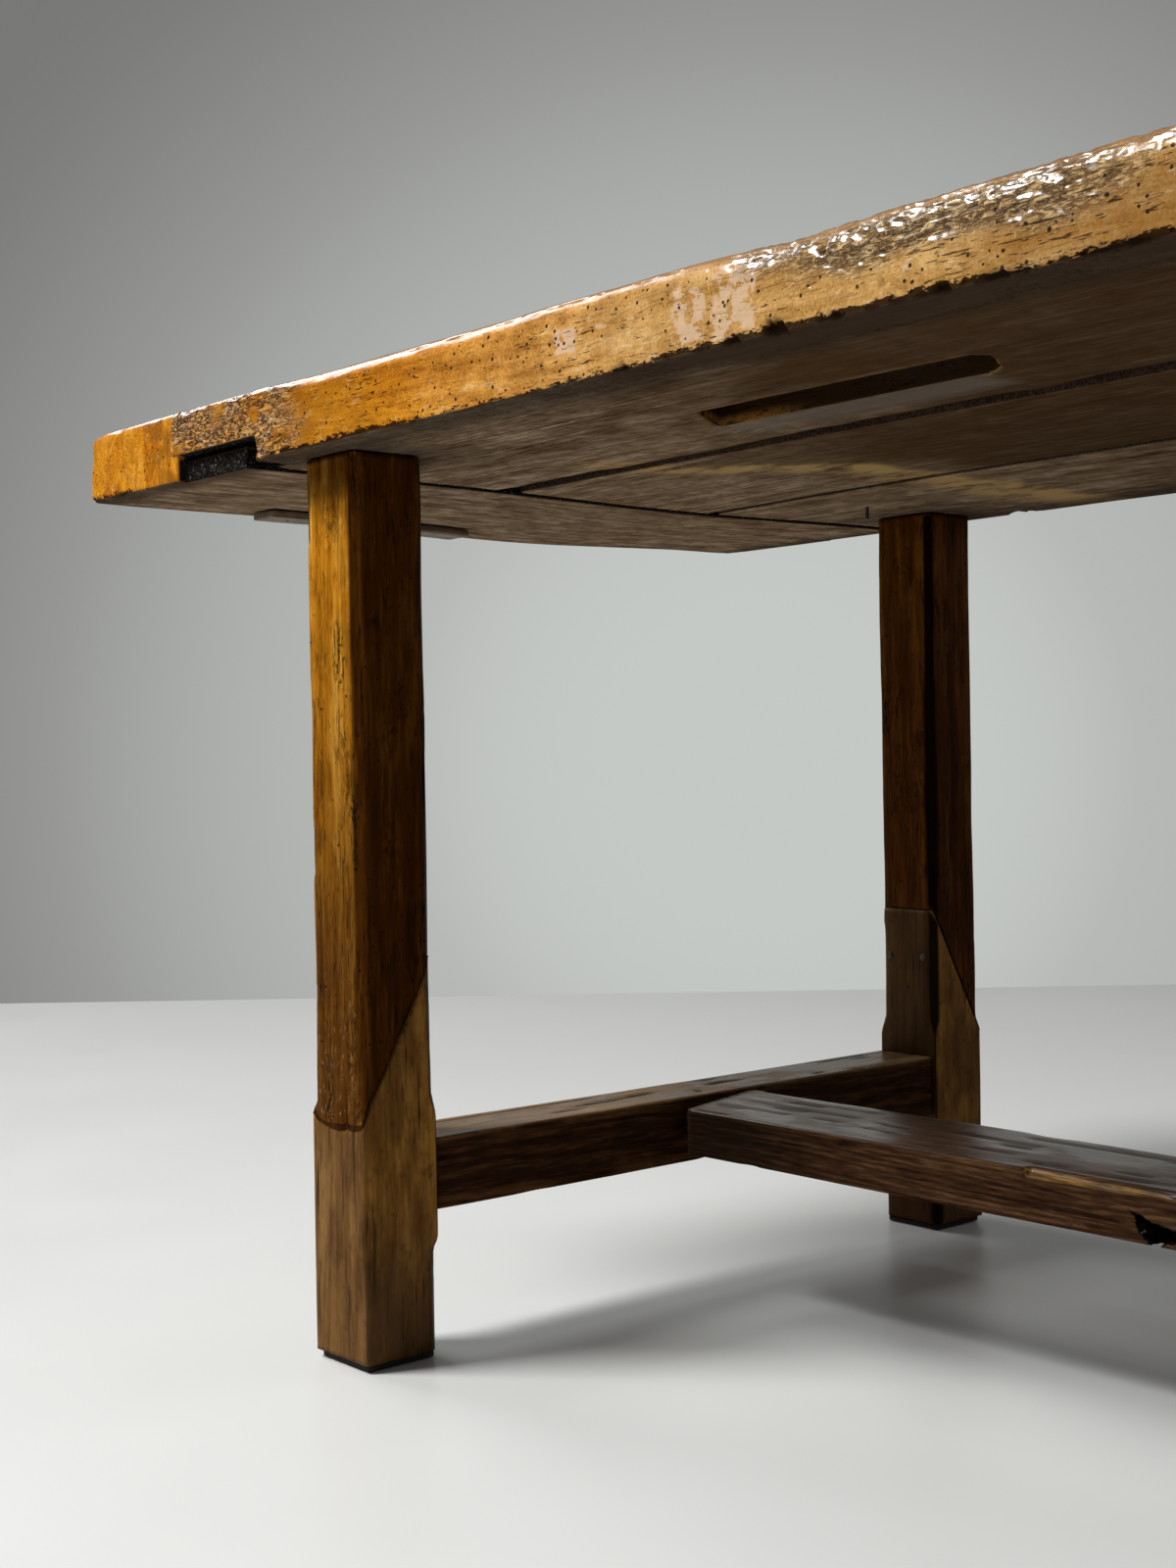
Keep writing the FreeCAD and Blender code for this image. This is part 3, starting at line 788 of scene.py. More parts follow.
def rail_oak(name, grain, shades, shine, dust):
    """Stretchers: near black oak with a dusty top and rubbed arrises."""
    material, nodes, vector = new_material(name, grain)
    figure = nodes.use(grain_effect, vector, Ring=0.0048, Wander=0.05)
    cracks = nodes.use(crack_effect, vector, Length=0.05, Width=0.0015, Amount=0.4)["Cracks"]
    lengthwise = nodes.stretch(vector, (0.35, 1.0, 1.0))
    film = nodes.use(blotch_effect, lengthwise, Size=0.05, Cover=0.5)["Blotches"]
    flecks = nodes.noise(vector, (45.0, 420.0, 420.0), 4.0, 0.65)
    tone = figure["Rings"] * 0.08 + figure["Streaks"] * 0.42 + flecks * 0.5
    colour = nodes.tones(tone, *zip((0.34, 0.5, 0.66), shades))
    dusty = nodes.tones(tone, (0.34, (0.12, 0.066, 0.028)), (0.5, (0.23, 0.14, 0.066)),
                        (0.66, (0.34, 0.225, 0.12)))
    amount = nodes.mask("upward") * nodes.ramp(film, 0.0, 1.0, 0.5 * dust, dust)
    rubbed = nodes.mask("arris") * nodes.ramp(figure["Streaks"], 0.35, 0.6)
    bare = nodes.tones(flecks, (0.38, (0.105, 0.046, 0.007)), (0.62, (0.4, 0.205, 0.052)))
    hollow_shade = nodes.mask("hollow_shade")
    colour = nodes.layers(colour, [
        (amount, dusty),
        (rubbed * 0.6, (0.25, 0.115, 0.036)),
        (nodes.mask("golden"), bare),
        (nodes.mask("shade") * 0.85, (0.007, 0.003, 0.001)),
        (figure["Pores"] * 0.5, (0.008, 0.004, 0.002)),
        (cracks * 0.9, (0.005, 0.002, 0.001)),
        # Painted shade in fissures and in the rotted knot.
        (hollow_shade, (0.002, 0.001, 0.001)),
    ])
    gloss = nodes.ramp(film, 0.2, 0.8, 0.7, 0.85) - nodes.mask("upward") * 0.48
    polished = nodes.mask("upward") * nodes.ramp(film, 0.0, 1.0, shine, 0.6 * shine)
    polished = nodes.larger(polished, nodes.mask("golden") * 0.6)
    relief = figure["Streaks"] * 0.4 - cracks - figure["Pores"] * 0.2 + flecks * 0.25
    return dress(material, nodes, relief, 0.0008, {
        "Base Color": colour,
        "Roughness": nodes.larger(gloss, hollow_shade),
        "Specular IOR Level": 0.03,
        "Coat Weight": polished,
        "Coat Roughness": 0.3,
    })


def plain_timber(name, grain, dark, light):
    """Small pegs, wedges, tongues and the mending cleat."""
    material, nodes, vector = new_material(name, grain)
    figure = nodes.use(grain_effect, vector, Ring=0.004, Wander=0.02)
    grime = nodes.use(blotch_effect, vector, Size=0.02, Cover=0.45)["Blotches"]
    tone = figure["Rings"] * 0.4 + figure["Streaks"] * 0.6
    colour = nodes.tones(tone, (0.2, dark), (0.8, light))
    shaded = tuple(part * 0.45 for part in dark)
    colour = nodes.mix(grime * 0.6, colour, shaded)
    relief = figure["Streaks"] - figure["Pores"] * 0.4
    return dress(material, nodes, relief, 0.0006, {
        "Base Color": colour,
        "Roughness": nodes.ramp(figure["Streaks"], 0.2, 0.8, 0.7, 0.48),
    })


def old_iron():
    """Hand-made nails, black with specks of rust."""
    material, nodes, vector = new_material("black_iron", "x")
    rust = nodes.use(blotch_effect, vector, Size=0.004, Cover=0.4)["Blotches"]
    return dress(material, nodes, nodes.noise(vector, 900.0, 3.0), 0.0005, {
        "Base Color": nodes.mix(rust, (0.02, 0.018, 0.017), (0.075, 0.03, 0.014)),
        "Roughness": nodes.ramp(rust, 0.0, 1.0, 0.45, 0.85),
        "Metallic": nodes.ramp(rust, 0.0, 1.0, 0.8, 0.1),
    })


def dark_felt():
    """Thin black felt under the feet."""
    material, nodes, vector = new_material("dark_felt", "x")
    fibres = nodes.noise(vector, 1400.0, 4.0, 0.7)
    return dress(material, nodes, fibres, 0.0008, {
        "Base Color": nodes.tones(fibres, (0.3, (0.008, 0.007, 0.006)), (0.7, (0.03, 0.026, 0.023))),
        "Roughness": nodes.ramp(fibres, 0.3, 0.7, 0.98, 0.88),
    })


board_wood = top_wood("long_board_wood", "x")
end_board_wood = top_wood("end_board_wood", "y")
leg_post_wood = post_wood()
leg_foot_wood = foot_wood()
end_shades = ((0.010, 0.003, 0.0006), (0.030, 0.011, 0.0035), (0.090, 0.038, 0.014))
end_rail_oak = rail_oak("end_stretcher_oak", "y", end_shades, 0.05, 0.95)
medial_shades = ((0.016, 0.006, 0.002), (0.060, 0.027, 0.012), (0.15, 0.076, 0.036))
medial_oak = rail_oak("medial_stretcher_oak", "x", medial_shades, 0.80, 0.12)
cleat_wood = plain_timber("cleat_wood", "y", (0.065, 0.040, 0.021), (0.20, 0.135, 0.075))
tongue_wood = plain_timber("tongue_wood", "y", (0.16, 0.10, 0.05), (0.30, 0.20, 0.11))
lap_peg_wood = plain_timber("lap_peg_wood", "z", (0.05, 0.022, 0.008), (0.17, 0.085, 0.032))
wedge_wood = plain_timber("wedge_wood", "z", (0.10, 0.048, 0.017), (0.26, 0.14, 0.055))
scarf_peg_wood = plain_timber("scarf_peg_wood", "y", (0.012, 0.006, 0.003), (0.05, 0.024, 0.010))
rail_peg_wood = plain_timber("stretcher_peg_wood", "x", (0.015, 0.008, 0.004), (0.07, 0.034, 0.014))
black_iron = old_iron()
felt = dark_felt()


# Top

# Sunken left end: depth, middle and half width across the table, and reach along it
sag_depth = 0.006
sag_middle = 0.080
sag_half_width = 0.28
sag_fade = 0.55


def sag(points):
    """How far the underside of the left end has sunk."""
    inward = points[:, 0] + table_end
    low_part = np.clip((tabletop - points[:, 2]) / (tabletop - underside), 0, 1)
    bowl = fall(np.abs(points[:, 1] - sag_middle), 0.0, sag_half_width)
    fade = fall(inward, 0.0, sag_fade)
    return sag_depth * bowl * fade * low_part


def edge_wear(board, along, up, eroded, spongy):
    """Depth of wear on a long outer edge, the painted shade in its deepest pits, and how torn and how eaten
    the wood is.
    """
    waves = 0.0007 * board.rough(0.15, 0, 2)
    grit = 0.0005 * board.rough((0.012, 0.006, 0.005), 20, 2)
    pits = 0.0016 * ramp(board.noise((0.009, 0.007, 0.0055), 11), 0.8, 0.94)
    ragged = 0.05 * (board.rough((0.04, 0.04, 0.02), 14) - 0.5)
    torn = np.zeros(len(along))
    for low, high, floor in eroded:
        reach = stretch_of(along + 1.6 * ragged, low, high, 0.05)
        torn = np.maximum(torn, reach * ramp(up + ragged / 2, floor - 0.004, floor + 0.014))
    furrows = np.clip(5 * np.abs(board.rough((0.012, 0.02, 0.0042), 12) - 0.5), 0, 1)
    sponge = np.zeros(len(along))
    for low, high in spongy:
        sponge = np.maximum(sponge, stretch_of(along + 2.2 * ragged, low, high, 0.05))
    sponge = sponge * ramp(board.rough((0.03, 0.03, 0.02), 15), 0.22, 0.42)
    eaten = ramp(board.rough((0.008, 0.008, 0.0055), 13), 0.44, 0.66)
    open_depth = pits + torn * (0.0003 + 0.0016 * furrows) + sponge * (0.0006 + 0.0014 * eaten)
    return waves + grit + open_depth, ramp(open_depth, 0.0019, 0.0036), torn, sponge


# Wear along the long edges, measured from the left end: stretch and lowest height
torn_places = {
    "front": [(0.825, 0.90, 0.036), (0.895, 1.055, 0.023), (1.10, 1.17, 0.044), (1.45, 1.60, 0.030)],
    "back": [(0.35, 0.52, 0.030), (1.25, 1.42, 0.024)],
}
eaten_places = {"front": [(0.168, 0.300)], "back": [(1.68, 1.80)]}
# Rounder stretches of the upper arrises, where people sat, and how much rounder
rubbed_places = {"front": [(0.38, 0.84, 0.008), (0.86, 1.12, 0.010)], "back": [(0.55, 1.45, 0.010)]}
# Chips in the lower arrises: place along the edge, half length and depth
chips = {
    "front": [(0.712, 0.008, 0.005), (0.811, 0.009, 0.005), (0.847, 0.010, 0.008), (0.888, 0.012, 0.005),
              (0.962, 0.014, 0.005), (1.008, 0.020, 0.005), (1.075, 0.028, 0.005), (1.24, 0.014, 0.006),
              (1.51, 0.02, 0.008)],
    "back": [(0.42, 0.02, 0.010), (0.93, 0.016, 0.007), (1.31, 0.03, 0.012), (1.62, 0.02, 0.008)],
}
# Lower arrises worn back along the seams: direction of the wear across the board, and its depth
seam_wear = {"front": [(-1, 0.0105)], "middle": [(1, 0.0012), (-1, 0.008)], "back": [(1, 0.0012)]}
# Pale scraped places on the front edge: stretch and heights
scrapes = [(0.762, 0.788, 0.010, 0.042), (0.798, 0.830, 0.008, 0.048), (0.650, 0.670, 0.020, 0.036)]


def carved_away(points, low, high):
    """1 on cut faces inside the block between low and high, 0 on its outside."""
    outside = np.isclose(points, low) | np.isclose(points, high)
    return 1.0 - outside.any(axis=1)


def ease_board(board, low, high, radius):
    """Rounds a board's arrises unevenly; marks and returns what faces down, up and sideways."""
    swell = 0.75 + 0.5 * board.rough(0.09, 40)
    board.ease(low, high, 0.001 + radius * swell)
    normals = board.normals()
    down = ramp(-normals[:, 2], 0.35, 0.8)
    upward = ramp(normals[:, 2], 0.45, 0.9)
    board.masks["underside"] = down
    board.masks["tabletop"] = upward
    return down, upward, np.clip(1 - down - upward, 0, 1)


def break_arris(timber, inward, up, toward, bite, rise=1):
    """Breaks an arris back to the given depth; rise is 1 for a lower arris and -1 for an upper one."""
    short = np.maximum(bite - (inward + up) / math.sqrt(2), 0) / math.sqrt(2)
    timber.points[:, 1] += toward * short
    timber.points[:, 2] += rise * short
    return ramp(short, 0.0004, 0.002)


def in_housing(x, y):
    """Whether a place lies within the slanted old housing."""
    near = y + table_side - housing_near
    width = housing_far - housing_near
    start = -table_end + housing_start - housing_slant * near / width
    stop = start + housing_length
    inside = (near > 0) & (near < width) & (x > start) & (x < stop)
    corner_x = np.maximum(x - (stop - housing_round), 0)
    corner_y = np.maximum(np.abs(near - width / 2) - (width / 2 - housing_round), 0)
    return inside & (np.hypot(corner_x, corner_y) < housing_round)


# Finely gridded stretches of the front board, from the left end, and the fine margin along outer edges
fine_spans = [(0.15, 0.32), (0.60, 1.20)]
torn_start, torn_stop = 0.82, 1.08
fine_margin = 0.012


# Long boards: outer side, grid steps along and up, start of the painted shade underneath, place in the
# grain
board_sides = {
    "front": (-1, 0.0056, 0.0018, 0.62, 0.0),
    "middle": (0, 0.008, 0.007, 0.48, 0.4),
    "back": (1, 0.005, 0.0042, 0.72, 0.8),
}


def board_block(side, low, high):
    """Gridded block of one long board, cut for its laps, leg mortises, worn mouth and old housing."""
    front = side == "front"
    left = -table_end
    outer, x_wide, z_step = board_sides[side][:3]
    x_stops = [low[0], high[0], -rebate_edge, rebate_edge]
    y_stops = [low[1], high[1], low[1] + fine_margin, high[1] - fine_margin]
    z_stops = [low[2], high[2], lap_top]
    if outer:
        x_stops += [sign * leg_middle[0] + half for sign in (-1, 1) for half in (-tenon_x / 2, tenon_x / 2)]
        y_stops += [outer * leg_middle[1] - tenon_y / 2, outer * leg_middle[1] + tenon_y / 2]
    if front:
        x_stops += [-rebate_edge + mouth_side, left + torn_start, left + torn_stop]
        x_stops += [left + place for span in fine_spans for place in span]
        y_stops += [low[1] + mouth_depth, low[1] + housing_near, low[1] + housing_far]
        z_stops += [mouth_top, underside + housing_depth]

    def x_step(x):
        if front and any(first < x - left < last for first, last in fine_spans):
            return 0.0015 if torn_start < x - left < torn_stop else 0.0021
        return x_wide

    def y_step(y):
        if min(y - low[1], high[1] - y) < fine_margin:
            return 0.0024
        return 0.0035 if front and housing_near < y - low[1] < housing_far else 0.011

    def is_cut(x, y, z):
        cut = (np.abs(x) > rebate_edge) & (z < lap_top)
        if outer:
            in_x = np.abs(np.abs(x) - leg_middle[0]) < tenon_x / 2
            cut |= in_x & (np.abs(y - outer * leg_middle[1]) < tenon_y / 2)
        if front:
            cut |= (x < -rebate_edge + mouth_side) & (y < low[1] + mouth_depth) & (z < mouth_top)
            cut |= in_housing(x, y) & (z < underside + housing_depth)
        return cut

    return carved_block((x_stops, y_stops, z_stops), (x_step, y_step, z_step), is_cut)


def top_board(side, seed):
    """One long board of the top, carved for its joints and worn."""
    node = "top_board_" + side
    low, high = corners(node)
    outer, _, _, right_shade_start, plank = board_sides[side]
    board = Timber(node, *board_block(side, low, high), seed)
    start = board.start
    x, y, z = start.T
    masks = board.masks
    along = x + table_end
    up = z - underside
    inward = table_side - outer * y if outer else np.ones(len(start))
    near_outer = fall(inward, 0.03, 0.06)
    sat_on = rubbed_places.get(side, [])
    rubbed = sum(more * stretch_of(along, first, last, 0.1) for first, last, more in sat_on)
    radius = 0.002 + (0.0042 + rubbed) * ramp(up, 0.02, 0.04)
    past_ends = np.array([0.03, 0.0, 0.0])
    down, upward, sideways = ease_board(board, low - past_ends, high + past_ends, near_outer * radius)
    inner_sides = sideways * (1 - near_outer)
    # Painted shade: seam sides, cut faces of laps, mortises and the housing, deep pits and chips are
    # darkened.
    hollow_shade = np.maximum(0.85 * inner_sides, carved_away(start, low, high))
    at_seam = np.isclose(y, low[1]) | np.isclose(y, high[1])
    # Painted shade: the seam sides between boards are blackened.
    masks["soot_and_shade"] = 0.9 * at_seam * (1 - near_outer) * (1 - upward)
    # Depth of wear, and the masks of the outer edge
    depth = 0.0008 * board.rough((0.12, 0.05, 0.05), 41)
    if outer:
        wear, open_wear, torn, eaten = edge_wear(board, along, up, torn_places[side], eaten_places[side])
        exposed = np.maximum(sideways, 0.5 * upward) * near_outer
        depth += wear * exposed * ramp(board_end - np.abs(x), -0.006, 0.014)
        hollow_shade = np.maximum(hollow_shade, open_wear * sideways * near_outer)
        drift = 0.2 * (board.rough(0.16, 43, 2) - 0.5)
        masks["bleached"] = ramp(along + drift, 0.45, 0.88)
        right_dirt = ramp(along + drift, 0.93, 1.05) * fall(up, 0.026, 0.05)
        masks["smoked"] = np.maximum(right_dirt, 0.7 * fall(along + drift, 0.36, 0.52))
        masks["torn"] = torn * exposed
        masks["eaten"] = eaten * exposed
        off_leg = np.abs(np.abs(start[:, :2]) - leg_middle[:2]) - (leg_high[:2] - leg_low[:2]) / 2
        # Painted shade underneath, beside the legs and along the outer edge.
        leg_shade = 0.8 * fall(np.linalg.norm(np.maximum(off_leg, 0), axis=1), 0.0, 0.07)
        masks["shade"] = down * np.maximum(leg_shade, fall(inward, 0.02, 0.07))
        crumbling = ramp(board.rough((0.07, 0.3, 0.3), 50, 2), 0.36, 0.58)
        masks["low_edge"] = near_outer * fall(up, 0.0, 0.015) * (0.7 + 0.3 * crumbling)
    # Scraped places on the front edge
    if side == "front":
        ragged = 0.012 * (board.rough((0.02, 0.02, 0.008), 44) - 0.5)
        bare = np.zeros(len(start))
        for first, last, bottom, top in scrapes:
            reach = (stretch_of(along + ragged, first, last, 0.002)
                     * stretch_of(up + ragged, bottom, top, 0.002))
            bare = np.maximum(bare, reach)
        masks["scrape"] = bare * sideways
    board.sink(depth)
    # Chips and nicks in the outer arrises
    if outer:
        bite = 0.0016 * ramp(board.noise((0.009, 0.02, 0.02), 46), 0.6, 0.9)
        nibble = 0.15 + 1.3 * board.rough((0.006, 0.02, 0.02), 45)
        for place, half, size in chips[side]:
            bite = np.maximum(bite, size * nibble * fall(np.abs(along - place) / half, 0.5, 1.0))
        hollow_shade = np.maximum(hollow_shade, 0.9 * break_arris(board, inward, up, -outer, bite))
        below = tabletop - z
        nicks = 0.0022 * ramp(board.rough((0.022, 0.03, 0.03), 52), 0.5, 0.7)
        break_arris(board, inward, below, -outer, nicks, -1)
        masks["upper_edge"] = near_outer * fall(below, 0.004, 0.012)
    # Mouth of the lap joint, and the old housing with the dish beside it
    if side == "front":
        at_mouth = stretch_of(along, 0.155, 0.3, 0.012) * fall(up, 0.024, 0.034)
        at_mouth = at_mouth * fall(inward, 0.03, 0.045)
        rim = stretch_of(inward, housing_near, housing_far, 0.006) * stretch_of(along, 0.59, 0.9, 0.01)
        board.soften(0.5 * np.maximum(at_mouth, rim * fall(up, 0.018, 0.026)), 2)
        dish = stretch_of(along, 0.61, 0.82, 0.03)
        dish *= stretch_of(inward, housing_far, housing_far + 0.034, 0.01)
        board.points[:, 2] += 0.0022 * dish * down
        # Painted highlight: pale grey on the dish beside the housing.
        masks["dish_highlight"] = 0.38 * dish * down
        walls = carved_away(start, low, high) * stretch_of(inward, housing_near, housing_far, 0.004)
        splinters = fall(along, 0.63, 0.7) * fall(up, 0.005, 0.01)
        splinters = splinters * ramp(board.rough((0.03, 0.02, 0.006), 49), 0.38, 0.5)
        # Painted shade on the walls of the joint mouth.
        mouth = carved_away(start, low, high) * fall(along, 0.29, 0.31) * fall(inward, 0.04, 0.05)
        masks["soot_and_shade"] = np.maximum(masks["soot_and_shade"], mouth)
        hollow_shade = hollow_shade * (1 - 0.35 * walls * splinters)
    # Seams, dirt, painted shade and a painted band of light
    for toward, size in seam_wear[side]:
        from_seam = high[1] - y if toward < 0 else y - low[1]
        open_seam = size * (0.6 + 0.8 * board.rough((0.08, 0.3, 0.3), 47))
        break_arris(board, from_seam, up, toward, open_seam)
    masks["plank"] = np.full(len(start), plank)
    from_sides = np.minimum(y - low[1], high[1] - y)
    from_seams = np.minimum(from_sides + near_outer, board_end - np.abs(x))
    dirt_reach = 0.004 + 0.02 * board.rough((0.1, 0.03, 0.03), 53)
    masks["seam_dirt"] = fall(from_seams / dirt_reach, 0.2, 1.0)
    if outer:
        sat_at = stretch_of(along + 0.15 * board.rough(0.2, 54), 0.45, 1.55, 0.25)
        masks["handled"] = sat_at * fall(inward + 0.05 * board.rough(0.06, 55), 0.03, 0.13)
    # Painted shade: the underside grows darker towards the right end.
    masks["right_shade"] = down * ramp(along + 0.16 * board.rough(0.12, 48), right_shade_start, right_shade_start + 0.26)
    # Painted light: a warm band underneath, sharp on its right side, where floor light falls.
    past = along - 0.44 - 0.1 * ramp(y + table_side, 0.25, 0.45)
    past = past + 0.05 * (board.rough(0.07, 51) - 0.5)
    lit = ramp(past, -0.07, -0.025) * fall(past, -0.005, 0.012)
    masks["painted_bounce_light"] = 0.8 * down * lit * ramp(y + table_side, 0.2, 0.27)
    masks["hollow_shade"] = hollow_shade
    # Ends that stay at the joint, and the sunken left end
    at_joint = np.isclose(np.abs(x), board_end)
    board.points[at_joint, 0] = start[at_joint, 0]
    board.points[:, 2] -= sag(board.points)
    board.place(board_wood, "top_boards", node)


def end_board(side, seed):
    """One end board with its lapped tongue; the left one is split and sunk."""
    node = "end_board_" + side
    sign = -1 if side == "left" else 1
    left = side == "left"
    split_y = -table_side + split_near
    x_stops = [lap_edge, board_end, table_end - fine_margin, table_end]
    y_stops = [-table_side, table_side]
    y_stops += [end * (table_side - inset) for end in (-1, 1) for inset in (lap_recess, 2 * fine_margin)]
    z_stops = [end_underside, lap_top, tabletop]
    if left:
        x_stops.append(table_end - split_length)
        y_stops += [split_y - split_width / 2, split_y + split_width / 2]
        z_stops.append(end_underside + split_depth)

    def x_step(x):
        return 0.0022 if abs(x) > table_end - fine_margin else 0.006

    def y_step(y):
        if abs(y) > table_side - 2 * fine_margin:
            return 0.0023
        return 0.0036 if left else 0.0055

    def is_cut(x, y, z):
        out = sign * x
        cut = (out < board_end) & ((z > lap_top) | (np.abs(y) > table_side - lap_recess))
        if left:
            in_split = (np.abs(y - split_y) < split_width / 2) & (out > table_end - split_length)
            cut |= in_split & (z < end_underside + split_depth)
        return cut

    stops = ([sign * stop for stop in x_stops], y_stops, z_stops)
    steps = (x_step, y_step, 0.0022 if left else 0.0042)
    board = Timber(node, *carved_block(stops, steps, is_cut), seed)
    start = board.start
    x, y, z = start.T
    masks = board.masks
    low, high = corners(node)
    out = sign * x
    up = z - end_underside
    inward = np.minimum(table_end - out, table_side - np.abs(y))
    in_body = out > board_end - touching
    to_joint = board_end - lap_edge - 0.03
    body_low = low + np.outer(in_body & (sign > 0), (to_joint, 0, 0))
    body_high = high - np.outer(in_body & (sign < 0), (to_joint, 0, 0))
    near_outer = fall(inward, 0.03, 0.06) * in_body
    at_corner = fall(np.hypot(table_end - out, table_side - np.abs(y)), 0.012, 0.03)
    radius = 0.0022 + 0.0042 * ramp(up, 0.02, 0.04) + 0.003 * at_corner
    down, upward, sideways = ease_board(board, body_low, body_high, near_outer * radius)
    cut_faces = carved_away(start, low, high)
    waves = 0.0009 * board.rough((0.06, 0.12, 0.06), 41)
    grit = 0.0005 * board.rough((0.006, 0.012, 0.005), 42, 2)
    dents = 0.0016 * ramp(board.noise((0.016, 0.016, 0.01), 43), 0.8, 0.95)
    board.sink(waves + (grit + dents) * sideways * near_outer)
    bite = 0.003 * ramp(board.noise((0.02, 0.014, 0.02), 46), 0.6, 0.9) * near_outer
    broken = break_arris(board, table_side - np.abs(y), up, -np.sign(y), bite)
    tongue_end = np.isclose(np.abs(y), table_side - lap_recess) & (out < board_end + touching)
    lap_faces = np.maximum(tongue_end, out < lap_edge + touching) * (1 - upward)
    in_lap = up < lap_top - end_underside + touching
    deep = np.maximum(ramp(table_side - np.abs(y), 0.004, 0.01), in_lap)
    # Blackened tongue end, and painted shade on the lap faces and deep cut faces.
    masks["soot_and_shade"] = np.maximum(lap_faces, 0.9 * cut_faces * sideways * deep)
    masks["upper_edge"] = near_outer * ramp(up, 0.048, 0.056)
    masks["plank"] = np.full(len(start), 0.0 if left else 0.6)
    dirt_reach = 0.004 + 0.02 * board.rough((0.03, 0.1, 0.03), 53)
    masks["seam_dirt"] = fall((out - board_end) / dirt_reach, 0.2, 1.0)
    masks["end_grain"] = sideways * fall(table_side - np.abs(y), 0.004, 0.012)
    # Painted shade on deep cut faces and in chips.
    masks["hollow_shade"] = np.maximum(0.8 * cut_faces * deep, 0.9 * broken)
    masks["shade"] = down * fall(table_side - np.abs(y), 0.012, 0.04)
    swirl = board.rough((0.026, 0.026, 0.016), 45, 4) - 0.5
    from_joint = out - board_end + 0.05 * swirl
    figured = stretch_of(from_joint + 0.3 * (0.03 - up), 0.024, 0.036, 0.016)
    masks["smoked"] = sideways * figured * ramp(swirl, -0.16, 0.04)
    masks["eaten"] = sideways * in_body * fall(from_joint, 0.006, 0.014) * ramp(up, 0.02, 0.026)
    crumbling = ramp(board.rough(0.05, 47, 2), 0.4, 0.6)
    masks["low_edge"] = 0.8 * near_outer * fall(up, 0.0, 0.016) * crumbling
    at_joint = np.isclose(out, board_end)
    board.points[at_joint, 0] = start[at_joint, 0]
    if left:
        by_split = fall(np.abs(y - split_y), 0.004, 0.03)
        wander = 0.008 * (rough(start * (1, 0, 0), 0.06, seed + 44, 3) - 0.5)
        board.points[:, 1] += wander * by_split * fall(up, 0.026, 0.04)
        board.points[:, 2] -= sag(board.points)
    board.place(end_board_wood, "end_boards", node)


for seed, side in ((100, "front"), (200, "middle"), (300, "back")):
    top_board(side, seed)
for seed, side in ((400, "left"), (500, "right")):
    end_board(side, seed)


# Legs

def corner_chamfer(points, middle, half, side_x, side_y, size):
    """Planes one vertical corner of a leg back to a chamfer of the given size."""
    corner = middle + half * np.array([side_x, side_y])
    diagonal = np.array([side_x, side_y]) / math.sqrt(2)
    beyond = (points[:, :2] - corner) @ diagonal + size / math.sqrt(2)
    beyond = np.maximum(beyond, 0)
    points[:, :2] -= beyond[:, None] * diagonal


